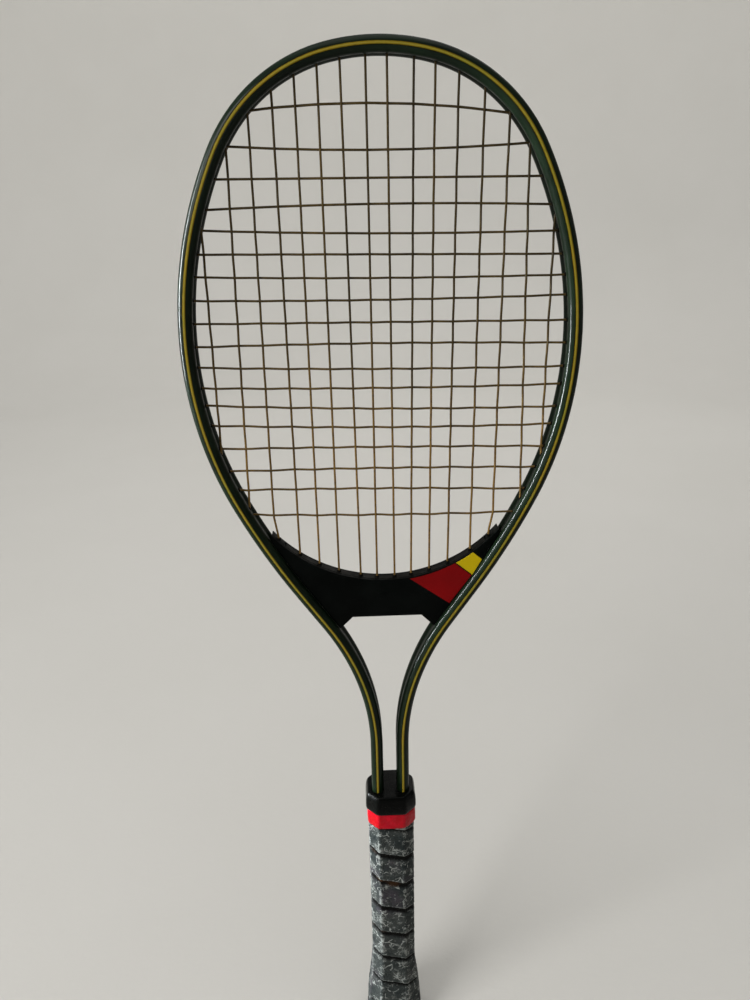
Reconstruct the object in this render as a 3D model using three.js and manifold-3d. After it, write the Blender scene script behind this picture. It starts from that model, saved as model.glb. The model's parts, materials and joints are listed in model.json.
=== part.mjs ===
// A tennis racket with an aluminium frame, strung and gripped.
// The racket stands on its butt end: +Z runs up the shafts to the crown of the head, +X is to the right and
// the front of the string bed faces -Y. All sizes are in millimetres, all angles in degrees.
import * as THREE from "three";
import { mergeVertices } from "three/addons/utils/BufferGeometryUtils.js";
import Module from "manifold-3d";

const wasm = await Module();
wasm.setup();

// ---- Driving dimensions ----

const LENGTH = 686; // butt end to crown
const CLEAR = 0.3; // gap between neighbouring pieces

// Frame tube: two round lobes, front and rear, joined by a narrow waist.
const LOBE_R = 4.2;
const LOBE_Y = 4.8; // centre of each lobe, in front of and behind the string plane
const WAIST_INNER = 3.0; // waist face towards the strings
const CHANNEL_FLOOR = 1.8; // floor of the string channel, on the outside of the head
const CHANNEL_HALF = 2.2; // half the channel's width
const BORE_R = 2.8;
const BORE_Y = 5.0;
const SHAFT_END = 78; // height at which the tube ends inside the handle

// Outline of the tube's centre line, from the crown down one side: arcs as [radius, sweep].
const HEAD_ARCS = [
  [117.5, 12.25],
  [86.4, 50.75],
  [217.7, 52.5],
  [463, 8.35],
];
const THROAT_STRAIGHT = 27.4;
const THROAT_R = 169.3; // reverse bend that brings the shafts together

// String bed.
const STRING_SIDE = 1.1; // width of the string's square stand-in section
const WEAVE = 0.85; // how far a string stands off the string plane at a crossing
const MAIN_OFFSETS = [5.4, 17.1, 28.8, 40.5, 53.1, 66.4, 79.7, 93.9];
const MAIN_LEANS = [0, 0, 0, 0, 0, 0, 0.0185, 0]; // one outer main leans in towards the crown
const LEAN_DATUM = 540;
const BRIDGE_MAINS = 6; // mains on each side that end in the bridge
const CROSS_HEIGHTS = [
  656.1, 634.7, 621.4, 608.7, 594, 583.3, 571, 559.4, 547.3,
  535.7, 521.2, 510.2, 498.1, 487, 475, 461.9, 449, 431.9,
];
const CROSS_FALL = 0.017; // the crosses run slightly downhill to the right
const CROSS_BOWS = [-9, 4]; // rise of the two top crosses at 100 mm from the middle
const STRING_SEAT = 3.45; // string centre in the channel, outside the tube's centre line
const MOUTH_INSET = 3.5; // where a string leaves its hole, inside the tube's centre line
const HOLE_R = 1.2; // half the diagonal of a square string hole
const HOLE_STAGGER = 0.95; // main holes sit this far in front of the string plane, cross holes behind it
const KNOT_R = 0.9;
const KNOT_SEAT = 3.7;
const KNOT_OFFSET = 4; // from the last hole to the knot
const MOUTH_ZONE = 3; // this close to a mouth, a string keeps to its own side of the string plane

// Grommet strip in the channel.
const STRIP_TOP = 2.1;
const STRIP_THICK = 0.5;
const STRIP_HALF = 1.9;
const STRIP_HOLE_R = 1.13;
const STRIP_BREAK = 3; // a side strip starts this far past the head strip's last main
const STRIP_TAIL = 6; // and runs on this far past the lowest hole

// Throat bridge.
const BRIDGE_ARC_R = 90;
const BRIDGE_LOW = 389.7; // lowest point of the string-side arc
const BRIDGE_DEPTH = 9;
const WING_TIP = 3.2; // height of a wing's blunt tip
const WING_SEARCH = 0.9; // share of the arc's radius, a half width surely past the tips
const BAR_BOTTOM = 364.2;
const BAR_HALF = 21.7; // half the flat under the crossbar
const BRIDGE_SEAT = 4.5; // bridge side face, from the tube's centre line
const BRIDGE_CHANNEL = 3.8; // height of the string channel under the bridge
const BRIDGE_CHANNEL_REACH = 69;
const BRIDGE_STRIP_REACH = 61;
const BRIDGE_STRIP_HALF = 2.5;
const BRIDGE_STRIP_THICK = 0.6;
const BRIDGE_HOLE_R = 1.3;
const PIN_R = 1.5;
const PIN_HEAD_R = 2;
const PIN_HEAD_THICK = 0.9;
const PIN_REACH = 12.2; // how far a shank goes in from the tube's centre line
const PIN_HEIGHT = 386; // where a rivet crosses the tube's centre line

// Colour flashes on the right wing, as [x, height] corners.
const FLASH_DEPTH = 0.5;
const RED_FLASH = [
  [15.1, 390],
  [28.8, 393.4],
  [42.5, 399.2],
  [52.6, 390.8],
  [39.4, 372],
];
const YELLOW_FLASH = [
  [43.2, 399.6],
  [48.4, 402.6],
  [53.5, 406],
  [58.8, 401.6],
  [53.2, 391.6],
];

// Handle.
const GRIP_WIDTH = 32;
const GRIP_DEPTH = 29.5;
const CORNER_CUT = 7; // bevel of the handle's octagon
const CUT_PER_INSET = 2 - Math.SQRT2; // how much the bevel shrinks when the octagon is inset by one
const WRAP_THICK = 1.6;
const FLARE_TOP = 72;
const FLARE_BOTTOM = 8;
const FLARE_GAIN = 9.8; // extra width at the butt
const HANDLE_TOP = 213.2;
const WRAP_PITCH = 25;
const WRAP_SEAM = 1.7;
const WRAP_TOP = 206;
const WRAP_START = -36.25; // height of the strip's middle where its helix starts, at the front left edge
const TAPE_BOTTOM = 200.8;
const TAPE_THICK = 0.7;
const COLLAR_RINGS = [
  [213.5, 34.4],
  [215.5, 35],
  [221, 34.6],
  [225, 33.4],
  [227.5, 31],
]; // height and width of the shaft collar's steps
const SLOT_CUT = 2.4; // corner bevel of the collar's shaft slots
const CAP_LIP = 3; // height of the butt cap's rim
const CAP_LIP_PROUD = 0.3;
const CAP_TOP = 52;
const CAP_FLOOR = 4;
const DOOR_R = 9;
const DOOR_RECESS = 0.4;

// ---- Helpers ----

// A polyline whose points become the stations of an extrusion.
class Stations extends THREE.Curve {
  constructor(points) {
    super();
    this.points = points;
  }
  getPoint(t, target = new THREE.Vector3()) {
    const place = t * (this.points.length - 1);
    const i = Math.min(Math.floor(place), this.points.length - 2);
    return target.lerpVectors(this.points[i], this.points[i + 1], place - i);
  }
  getPointAt(u, target) {
    return this.getPoint(u, target);
  }
  getTangentAt(u, target = new THREE.Vector3()) {
    const last = this.points.length - 1;
    const i = Math.round(u * last);
    const here = this.points[i];
    const before = here.clone().sub(this.points[Math.max(i - 1, 0)]).normalize();
    const after = this.points[Math.min(i + 1, last)].clone().sub(here).normalize();
    return target.addVectors(before, after).normalize();
  }
}

function sweep(shape, points) {
  return new THREE.ExtrudeGeometry(shape, {
    steps: points.length - 1,
    bevelEnabled: false,
    extrudePath: new Stations(points),
  });
}

function toSolid(geometry) {
  const bare = geometry.clone();
  bare.deleteAttribute("normal");
  bare.deleteAttribute("uv");
  const merged = mergeVertices(bare, 1e-4);
  return new wasm.Manifold(
    new wasm.Mesh({
      numProp: 3,
      vertProperties: merged.attributes.position.array,
      triVerts: new Uint32Array(merged.index.array),
    }),
  );
}

function toGeometry(solid) {
  const mesh = solid.getMesh();
  return new THREE.BufferGeometry()
    .setAttribute("position", new THREE.BufferAttribute(mesh.vertProperties, 3))
    .setIndex(new THREE.BufferAttribute(mesh.triVerts, 1));
}

const unite = (solids) => solids.reduce((sum, solid) => sum.add(solid));

function box(x0, x1, y0, y1, z0, z1) {
  const geometry = new THREE.BoxGeometry(x1 - x0, y1 - y0, z1 - z0);
  geometry.translate((x0 + x1) / 2, (y0 + y1) / 2, (z0 + z1) / 2);
  return toSolid(geometry);
}

// A rod between two points, with a flat of its section towards the front.
function rod(from, to, radius, sides = 4) {
  const axis = new THREE.Vector3().subVectors(to, from);
  const length = axis.length();
  const geometry = new THREE.CylinderGeometry(radius, radius, length, sides, 1, false, Math.PI / sides);
  const direction = axis.clone().normalize();
  geometry.applyQuaternion(new THREE.Quaternion().setFromUnitVectors(new THREE.Vector3(0, 1, 0), direction));
  geometry.translate((from.x + to.x) / 2, (from.y + to.y) / 2, (from.z + to.z) / 2);
  return toSolid(geometry);
}

// A plate lying in the string plane: an outline of [x, z] corners, between two depths.
function plate(corners, y0, y1) {
  const shape = new THREE.Shape(corners.map(([x, z]) => new THREE.Vector2(x, z)));
  const geometry = new THREE.ExtrudeGeometry(shape, { depth: y1 - y0, bevelEnabled: false });
  geometry.rotateX(Math.PI / 2);
  geometry.translate(0, y1, 0);
  return toSolid(geometry);
}

// ---- Outline of the tube's centre line ----

const CROWN = LENGTH - LOBE_R;

// One side of the outline as a list of runs, each with its start point, heading and curvature.
function outlineRuns() {
  const runs = [];
  let x = 0;
  let z = CROWN;
  let heading = 0; // clockwise from +X
  const add = (length, curvature) => {
    runs.push({ x, z, heading, curvature, length });
    ({ x, z, heading } = along(runs.at(-1), length));
  };
  for (const [radius, sweepAngle] of HEAD_ARCS) {
    add(radius * THREE.MathUtils.degToRad(sweepAngle), 1 / radius);
  }
  add(THROAT_STRAIGHT, 0);
  add(THROAT_R * (heading - Math.PI / 2), -1 / THROAT_R);
  add(z - SHAFT_END, 0);
  return runs;
}

function along(run, distance) {
  const turned = run.heading + run.curvature * distance;
  if (run.curvature === 0) {
    return {
      x: run.x + distance * Math.cos(run.heading),
      z: run.z - distance * Math.sin(run.heading),
      heading: turned,
    };
  }
  return {
    x: run.x + (Math.sin(turned) - Math.sin(run.heading)) / run.curvature,
    z: run.z + (Math.cos(turned) - Math.cos(run.heading)) / run.curvature,
    heading: turned,
  };
}

const RUNS = outlineRuns();
const HALF_LENGTH = RUNS.reduce((sum, run) => sum + run.length, 0);
const HEAD_LENGTH = RUNS.slice(0, HEAD_ARCS.length).reduce((sum, run) => sum + run.length, 0);
const SHAFT_X = along(RUNS.at(-1), 0).x;

// The point at a signed distance from the crown, moved inwards, towards the strings, by inset.
function outlinePoint(distance, inset = 0, y = 0) {
  const side = Math.sign(distance) || 1;
  let rest = Math.min(Math.abs(distance), HALF_LENGTH);
  let i = 0;
  while (i < RUNS.length - 1 && rest > RUNS[i].length) {
    rest -= RUNS[i].length;
    i += 1;
  }
  const { x, z, heading } = along(RUNS[i], rest);
  return new THREE.Vector3(side * (x - inset * Math.sin(heading)), y, z - inset * Math.cos(heading));
}

// The distance in [low, high] at which test changes sign.
function solve(test, low, high) {
  const sign = Math.sign(test(low));
  for (let i = 0; i < 50; i += 1) {
    const middle = (low + high) / 2;
    if (Math.sign(test(middle)) === sign) low = middle;
    else high = middle;
  }
  return (low + high) / 2;
}

const TURN_PER_STEP = 7;
const LONGEST_STEP = 18; // on a bend

// Station distances along one side, close together on bends and far apart on straights.
function stationDistances(from, to) {
  const stations = [from];
  let start = 0;
  for (const run of RUNS) {
    const end = start + run.length;
    const a = Math.max(start, from);
    const b = Math.min(end, to);
    if (b > a) {
      const turn = THREE.MathUtils.radToDeg(Math.abs(run.curvature) * (b - a));
      const longest = run.curvature ? LONGEST_STEP : b - a;
      const count = Math.max(1, Math.round(turn / TURN_PER_STEP), Math.round((b - a) / longest));
      for (let i = 1; i <= count; i += 1) stations.push(a + ((b - a) * i) / count);
    }
    start = end;
  }
  return stations;
}

// Stations between two signed distances, from the left side over the crown to the right.
function stationsBetween(from, to) {
  if (from >= 0) return stationDistances(from, to);
  const mirrored = (far, near) => stationDistances(near, far).map((d) => -d).reverse();
  if (to <= 0) return mirrored(-from, -to);
  return [...mirrored(-from, 0), ...stationDistances(0, to).slice(1)];
}

const WIDEST = solve((d) => outlinePoint(d + 0.01).x - outlinePoint(d).x, 100, HEAD_LENGTH);

// ---- Where the strings meet the frame ----

const mainX = (i, side, z) => side * (MAIN_OFFSETS[i] - MAIN_LEANS[i] * (z - LEAN_DATUM));
const crossZ = (j, x) => CROSS_HEIGHTS[j] - CROSS_FALL * x + (CROSS_BOWS[j] ?? 0) * (x / 100) ** 2;
const bridgeArcZ = (x) => BRIDGE_LOW + BRIDGE_ARC_R - Math.sqrt(BRIDGE_ARC_R ** 2 - x ** 2);

// Signed distance along the outline of each string hole.
function mainEnd(i, side, from, to) {
  const miss = (d) => {
    const p = outlinePoint(side * d, MOUTH_INSET);
    return side * (p.x - mainX(i, side, p.z));
  };
  return side * solve(miss, from, to);
}

const mainTop = (i, side) => mainEnd(i, side, 0, WIDEST);
const mainBottom = (i, side) => mainEnd(i, side, WIDEST, HEAD_LENGTH);

function crossEnd(j, side) {
  const miss = (d) => {
    const p = outlinePoint(side * d, MOUTH_INSET);
    return p.z - crossZ(j, p.x);
  };
  return side * solve(miss, 0, HEAD_LENGTH);
}

// The mains from left to right.
const MAINS = [];
for (let i = MAIN_OFFSETS.length - 1; i >= 0; i -= 1) MAINS.push({ i, side: -1 });
for (let i = 0; i < MAIN_OFFSETS.length; i += 1) MAINS.push({ i, side: 1 });
const CROSSES = CROSS_HEIGHTS.map((_, j) => ({ left: crossEnd(j, -1), right: crossEnd(j, 1) }));
for (const main of MAINS) {
  main.top = mainTop(main.i, main.side);
  if (main.i >= BRIDGE_MAINS) main.bottom = mainBottom(main.i, main.side);
}

// ---- Frame tube ----

function arcPoints(cx, radius, from, to, count) {
  const points = [];
  for (let i = 0; i <= count; i += 1) {
    const angle = THREE.MathUtils.degToRad(from + ((to - from) * i) / count);
    points.push([cx + radius * Math.cos(angle), radius * Math.sin(angle)]);
  }
  return points;
}

const degrees = THREE.MathUtils.radToDeg;

// Section of the tube: x is the depth, front to back, and +y points at the strings.
function tubeSection() {
  const channelEdge = -180 + degrees(Math.acos((LOBE_Y - CHANNEL_HALF) / LOBE_R));
  const waistEdge = 180 - degrees(Math.asin(WAIST_INNER / LOBE_R));
  const rear = [[CHANNEL_HALF, -CHANNEL_FLOOR], ...arcPoints(LOBE_Y, LOBE_R, channelEdge, waistEdge, 8)];
  const front = rear.map(([x, y]) => [-x, y]).reverse();
  const section = new THREE.Shape([...rear, ...front].map(([x, y]) => new THREE.Vector2(x, y)));
  const boreLow = -180 + degrees(Math.asin((CHANNEL_FLOOR - 1) / BORE_R));
  const boreHigh = 180 - degrees(Math.asin((WAIST_INNER - 1.2) / BORE_R));
  const boreRear = arcPoints(BORE_Y, BORE_R, boreLow, boreHigh, 6);
  const boreFront = boreRear.map(([x, y]) => [-x, y]).reverse();
  section.holes.push(new THREE.Path([...boreRear, ...boreFront].map(([x, y]) => new THREE.Vector2(x, y))));
  return section;
}

function holeRod(distance, y, radius) {
  return rod(outlinePoint(distance, LOBE_R + 1.5, y), outlinePoint(distance, -LOBE_R - 1.5, y), radius);
}

function stringHoles(radius) {
  const holes = [];
  for (const main of MAINS) {
    holes.push(holeRod(main.top, -HOLE_STAGGER, radius));
    if (main.bottom) holes.push(holeRod(main.bottom, -HOLE_STAGGER, radius));
  }
  for (const cross of CROSSES) {
    holes.push(holeRod(cross.left, HOLE_STAGGER, radius));
    holes.push(holeRod(cross.right, HOLE_STAGGER, radius));
  }
  return unite(holes);
}

const pinDistance = solve((d) => outlinePoint(d).z - PIN_HEIGHT, WIDEST, HALF_LENGTH);

function pinRod(side, radius, from, to) {
  return rod(outlinePoint(side * pinDistance, from), outlinePoint(side * pinDistance, to), radius, 8);
}

function frameTube() {
  const points = stationsBetween(-HALF_LENGTH, HALF_LENGTH).map((d) => outlinePoint(d));
  const pins = unite([-1, 1].map((side) => pinRod(side, PIN_R + CLEAR, LOBE_R + 1, -LOBE_R - 1)));
  return toSolid(sweep(tubeSection(), points)).subtract(stringHoles(HOLE_R)).subtract(pins);
}

// ---- Grommet strips ----

function grommetStrip(from, to) {
  const points = stationsBetween(from, to).map((d) => outlinePoint(d));
  const low = -STRIP_TOP - STRIP_THICK;
  const section = new THREE.Shape([
    new THREE.Vector2(-STRIP_HALF, low),
    new THREE.Vector2(STRIP_HALF, low),
    new THREE.Vector2(STRIP_HALF, -STRIP_TOP),
    new THREE.Vector2(-STRIP_HALF, -STRIP_TOP),
  ]);
  return toSolid(sweep(section, points)).subtract(stringHoles(STRIP_HOLE_R));
}

// ---- Strings ----

function knotAt({ x, y, z }) {
  const knot = new THREE.SphereGeometry(KNOT_R, 8, 5);
  knot.translate(x, y, z);
  return toSolid(knot);
}

function stringSolid(points) {
  const half = STRING_SIDE / 2;
  const section = new THREE.Shape([
    new THREE.Vector2(-half, -half),
    new THREE.Vector2(half, -half),
    new THREE.Vector2(half, half),
    new THREE.Vector2(-half, half),
  ]);
  return toSolid(sweep(section, points)).add(knotAt(points[0])).add(knotAt(points.at(-1)));
}

// The run outside the head from one hole to another, in the string channel.
function channelRun(from, to, y) {
  const count = Math.max(1, Math.ceil(Math.abs(to - from) / 8));
  const points = [];
  for (let i = 0; i <= count; i += 1) {
    points.push(outlinePoint(from + ((to - from) * i) / count, -STRING_SEAT, y));
  }
  return points;
}

// Lower outline of the bridge at a given x, used for its string channel and the string loops in it.
const cornerDistance = solve(
  (d) => {
    const p = outlinePoint(d, BRIDGE_SEAT);
    return p.z - (BAR_BOTTOM - (p.x - BAR_HALF));
  },
  WIDEST,
  HALF_LENGTH,
);
const BRIDGE_CORNER = outlinePoint(cornerDistance, BRIDGE_SEAT);
const wingReach = WING_SEARCH * BRIDGE_ARC_R;
const wingStart = solve((d) => outlinePoint(d, BRIDGE_SEAT).x - wingReach, WIDEST, cornerDistance);
const wingDistance = solve(
  (d) => {
    const p = outlinePoint(d, BRIDGE_SEAT);
    return p.z - bridgeArcZ(p.x) + WING_TIP;
  },
  wingStart,
  cornerDistance,
);

function bridgeUnderZ(x) {
  const ax = Math.abs(x);
  if (ax <= BAR_HALF) return BAR_BOTTOM;
  if (ax <= BRIDGE_CORNER.x) return BAR_BOTTOM - (ax - BAR_HALF);
  const d = solve((s) => outlinePoint(s, BRIDGE_SEAT).x - ax, cornerDistance, WIDEST);
  return outlinePoint(d, BRIDGE_SEAT).z;
}

// The string's seat under the roof of the bridge's channel.
function bridgeSeat(x) {
  return new THREE.Vector3(x, 0, bridgeUnderZ(x) + BRIDGE_CHANNEL - STRING_SIDE - CLEAR);
}

function bridgeRun(fromX, toX) {
  const low = Math.min(fromX, toX);
  const high = Math.max(fromX, toX);
  const corners = [-BRIDGE_CORNER.x, BRIDGE_CORNER.x].filter((x) => x > low && x < high);
  const stops = [low, ...corners, (low + high) / 2, high].sort((a, b) => a - b);
  return (toX > fromX ? stops : stops.reverse()).map(bridgeSeat);
}

const mainMouth = (distance) => outlinePoint(distance, MOUTH_INSET, -HOLE_STAGGER);
const crossMouth = (distance) => outlinePoint(distance, MOUTH_INSET, HOLE_STAGGER);

// Where a main passes a cross: the main's own point, in front of the string plane or behind it.
function crossing(k, j) {
  const { i, side, top, bottom } = MAINS[k];
  const x = mainX(i, side, CROSS_HEIGHTS[j]);
  const z = crossZ(j, x);
  const { left, right } = CROSSES[j];
  const nearCrossEnd = [left, right].some((d) => Math.abs(crossMouth(d).x - x) < MOUTH_ZONE);
  const nearMainEnd = [top, bottom ?? top].some((d) => Math.abs(mainMouth(d).z - z) < MOUTH_ZONE);
  const inFront = nearCrossEnd || nearMainEnd || (k + j) % 2 === 0;
  return new THREE.Vector3(x, inFront ? -WEAVE : WEAVE, z);
}

// Whether a main and a cross meet inside the head.
function meets(k, j) {
  const p = crossing(k, j);
  const inCross = p.x > crossMouth(CROSSES[j].left).x && p.x < crossMouth(CROSSES[j].right).x;
  return inCross && p.z < mainMouth(MAINS[k].top).z;
}

// One main from its lower mouth to its upper mouth, woven over and under the crosses.
function mainSpan(k) {
  const { i, side, top, bottom } = MAINS[k];
  const x = mainX(i, side, BRIDGE_LOW);
  const points = [bottom ? mainMouth(bottom) : new THREE.Vector3(x, 0, bridgeArcZ(x) + 1)];
  for (let j = CROSS_HEIGHTS.length - 1; j >= 0; j -= 1) {
    if (meets(k, j)) points.push(crossing(k, j));
  }
  points.push(mainMouth(top));
  return points;
}

function mainString() {
  const last = MAINS.length - 1;
  const points = [outlinePoint(MAINS[0].top - KNOT_OFFSET, -KNOT_SEAT, -HOLE_STAGGER)];
  points.push(outlinePoint(MAINS[0].top, -STRING_SEAT, -HOLE_STAGGER));
  MAINS.forEach((main, k) => {
    const goingUp = k % 2 === 1;
    const span = mainSpan(k);
    points.push(...(goingUp ? span : span.reverse()));
    const next = MAINS[k + 1];
    if (!next) return;
    if (goingUp) points.push(...channelRun(main.top, next.top, -HOLE_STAGGER));
    else if (main.bottom) points.push(...channelRun(main.bottom, next.bottom, -HOLE_STAGGER));
    else points.push(...bridgeRun(points.at(-1).x, mainX(next.i, next.side, BRIDGE_LOW)));
  });
  points.push(outlinePoint(MAINS[last].top, -STRING_SEAT, -HOLE_STAGGER));
  points.push(outlinePoint(MAINS[last].top + KNOT_OFFSET, -KNOT_SEAT, -HOLE_STAGGER));
  return stringSolid(points);
}

// One cross from its left mouth to its right mouth.
function crossSpan(j) {
  const points = [crossMouth(CROSSES[j].left)];
  for (let k = 0; k < MAINS.length; k += 1) {
    if (meets(k, j)) points.push(crossing(k, j).multiply(new THREE.Vector3(1, -1, 1)));
  }
  points.push(crossMouth(CROSSES[j].right));
  return points;
}

function crossString() {
  const points = [outlinePoint(CROSSES[0].left + KNOT_OFFSET, -KNOT_SEAT, HOLE_STAGGER)];
  points.push(outlinePoint(CROSSES[0].left, -STRING_SEAT, HOLE_STAGGER));
  CROSSES.forEach((cross, j) => {
    const rightward = j % 2 === 0;
    const span = crossSpan(j);
    points.push(...(rightward ? span : span.reverse()));
    const next = CROSSES[j + 1];
    if (!next) return;
    const from = rightward ? cross.right : cross.left;
    const to = rightward ? next.right : next.left;
    points.push(...channelRun(from, to, HOLE_STAGGER));
  });
  points.push(outlinePoint(CROSSES.at(-1).left, -STRING_SEAT, HOLE_STAGGER));
  points.push(outlinePoint(CROSSES.at(-1).left - KNOT_OFFSET, -KNOT_SEAT, HOLE_STAGGER));
  return stringSolid(points);
}

// ---- Throat bridge ----

// Points of the string-side arc from x0 to x1, raised by lift.
function arcRun(x0, x1, count, lift = 0) {
  const points = [];
  for (let i = 0; i <= count; i += 1) {
    const x = x0 + ((x1 - x0) * i) / count;
    points.push([x, bridgeArcZ(x) + lift]);
  }
  return points;
}

// Points of the bridge's side and underside, from the right wing tip to the left one.
function underRun() {
  const count = 12;
  const right = [];
  for (let i = 0; i <= count; i += 1) {
    const p = outlinePoint(wingDistance + ((cornerDistance - wingDistance) * i) / count, BRIDGE_SEAT);
    right.push([p.x, p.z]);
  }
  right.push([BAR_HALF, BAR_BOTTOM]);
  return [...right, ...right.map(([x, z]) => [-x, z]).reverse()];
}

function bridgeChannel() {
  const under = underRun().filter(([x]) => Math.abs(x) < BRIDGE_CHANNEL_REACH);
  const first = [BRIDGE_CHANNEL_REACH, bridgeUnderZ(BRIDGE_CHANNEL_REACH)];
  const path = [first, ...under, [-first[0], first[1]]];
  const roof = path.map(([x, z]) => [x, z + BRIDGE_CHANNEL]);
  const floor = path.map(([x, z]) => [x, z - 12]).reverse();
  return plate([...roof, ...floor], -CHANNEL_HALF, CHANNEL_HALF);
}

function bridgeHoles(radius) {
  const holes = [];
  for (const { i, side } of MAINS.filter((main) => !main.bottom)) {
    const x = mainX(i, side, BRIDGE_LOW);
    const top = new THREE.Vector3(x, 0, bridgeArcZ(x) + 4);
    holes.push(rod(new THREE.Vector3(x, 0, bridgeUnderZ(x) + 1), top, radius));
  }
  return unite(holes);
}

function bridgeStrip(grow) {
  const reach = BRIDGE_STRIP_REACH + grow;
  const top = arcRun(-reach, reach, 16, grow ? 1 : 0);
  const bottom = arcRun(-reach, reach, 16, -BRIDGE_STRIP_THICK - grow).reverse();
  const half = BRIDGE_STRIP_HALF + grow;
  return plate([...top, ...bottom], -half, half);
}

function flash(corners, front, grow) {
  const face = (front ? -1 : 1) * (BRIDGE_DEPTH / 2);
  const inward = front ? 1 : -1;
  const depths = [face + inward * (FLASH_DEPTH + grow), face - inward * grow].sort((a, b) => a - b);
  const cx = corners.reduce((sum, [x]) => sum + x, 0) / corners.length;
  const cz = corners.reduce((sum, [, z]) => sum + z, 0) / corners.length;
  const widened = corners.map(([x, z]) => {
    const reach = Math.hypot(x - cx, z - cz);
    const scale = (reach + grow * 1.5) / reach;
    return [cx + (x - cx) * scale, cz + (z - cz) * scale];
  });
  return plate(widened, depths[0], depths[1]);
}

function throatBridge() {
  const wingX = outlinePoint(wingDistance, BRIDGE_SEAT).x;
  const body = plate([...arcRun(-wingX, wingX, 18), ...underRun()], -BRIDGE_DEPTH / 2, BRIDGE_DEPTH / 2);
  const pins = unite([-1, 1].map((side) => pinRod(side, PIN_R + CLEAR, PIN_REACH + 1, 0)));
  const pockets = unite(
    [true, false].flatMap((front) => [flash(RED_FLASH, front, CLEAR), flash(YELLOW_FLASH, front, CLEAR)]),
  );
  return body
    .subtract(bridgeChannel())
    .subtract(bridgeHoles(BRIDGE_HOLE_R))
    .subtract(bridgeStrip(CLEAR))
    .subtract(pockets)
    .subtract(pins);
}

function bridgeGrommetStrip() {
  return bridgeStrip(0).subtract(bridgeHoles(STRIP_HOLE_R));
}

// A rivet from the channel outside the tube, through the waist, into the bridge's side.
function bridgeRivet(side) {
  const seat = -CHANNEL_FLOOR - CLEAR;
  const shank = pinRod(side, PIN_R, PIN_REACH, seat);
  const head = pinRod(side, PIN_HEAD_R, seat, seat - PIN_HEAD_THICK);
  return shank.add(head);
}

// ---- Handle ----

// An octagon with cut corners, standing upright.
function octagonPoints(width, depth, cut) {
  const w = width / 2;
  const d = depth / 2;
  return [
    [w - cut, -d],
    [w, -d + cut],
    [w, d - cut],
    [w - cut, d],
    [-w + cut, d],
    [-w, d - cut],
    [-w, -d + cut],
    [-w + cut, -d],
  ];
}

function flareScale(z) {
  const t = THREE.MathUtils.clamp((FLARE_TOP - z) / (FLARE_TOP - FLARE_BOTTOM), 0, 1);
  return 1 + (FLARE_GAIN / GRIP_WIDTH) * t * t * (3 - 2 * t);
}

// Scales every vertex about the Z axis by a factor that depends on its height.
function taper(geometry, scaleAt) {
  const position = geometry.attributes.position;
  for (let i = 0; i < position.count; i += 1) {
    const scale = scaleAt(position.getZ(i));
    position.setX(i, position.getX(i) * scale);
    position.setY(i, position.getY(i) * scale);
  }
  return geometry;
}

// An octagonal prism, inset from the grip's surface, that follows the butt flare when flared is true.
function octagonPrism(inset, z0, z1, { flared = false, steps = 1 } = {}) {
  const cut = CORNER_CUT - inset * CUT_PER_INSET;
  const corners = octagonPoints(GRIP_WIDTH - 2 * inset, GRIP_DEPTH - 2 * inset, cut);
  const shape = new THREE.Shape(corners.map(([x, y]) => new THREE.Vector2(x, y)));
  const geometry = new THREE.ExtrudeGeometry(shape, { depth: z1 - z0, steps, bevelEnabled: false });
  geometry.translate(0, 0, z0);
  return toSolid(flared ? taper(geometry, flareScale) : geometry);
}

const SHAFT_HALF = LOBE_R + CLEAR;
const TUBE_HALF_DEPTH = LOBE_Y + LOBE_R;

function palletShell(front) {
  const inset = WRAP_THICK + CLEAR;
  const body = octagonPrism(inset, CAP_FLOOR + CLEAR, HANDLE_TOP);
  const coreX = SHAFT_X + SHAFT_HALF;
  const coreY = TUBE_HALF_DEPTH + CLEAR;
  const coreFloor = SHAFT_END - CLEAR;
  const core = box(-coreX, coreX, -coreY, coreY, coreFloor, HANDLE_TOP + 1);
  const split = CLEAR / 2;
  const half = front
    ? box(-GRIP_WIDTH, GRIP_WIDTH, -GRIP_WIDTH, -split, 0, LENGTH)
    : box(-GRIP_WIDTH, GRIP_WIDTH, split, GRIP_WIDTH, 0, LENGTH);
  return body.subtract(core).intersect(half);
}

function shaftSpacer() {
  const half = SHAFT_X - SHAFT_HALF;
  return box(-half, half, -TUBE_HALF_DEPTH, TUBE_HALF_DEPTH, SHAFT_END, HANDLE_TOP);
}

function buttCap() {
  const sleeve = octagonPrism(WRAP_THICK + CLEAR, 0, CAP_TOP, { flared: true, steps: 7 });
  const lip = octagonPrism(-CAP_LIP_PROUD, 0, CAP_LIP, { flared: true });
  const hollow = octagonPrism(WRAP_THICK, CAP_FLOOR, CAP_TOP + 1);
  const inner = new THREE.Vector3(0, 0, CAP_FLOOR + 1);
  const doorway = rod(new THREE.Vector3(0, 0, -1), inner, DOOR_R + CLEAR, 24);
  return sleeve.add(lip).subtract(hollow).subtract(doorway);
}

function buttDoor() {
  const inner = new THREE.Vector3(0, 0, CAP_FLOOR - DOOR_RECESS);
  return rod(new THREE.Vector3(0, 0, DOOR_RECESS), inner, DOOR_R, 24);
}

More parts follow.
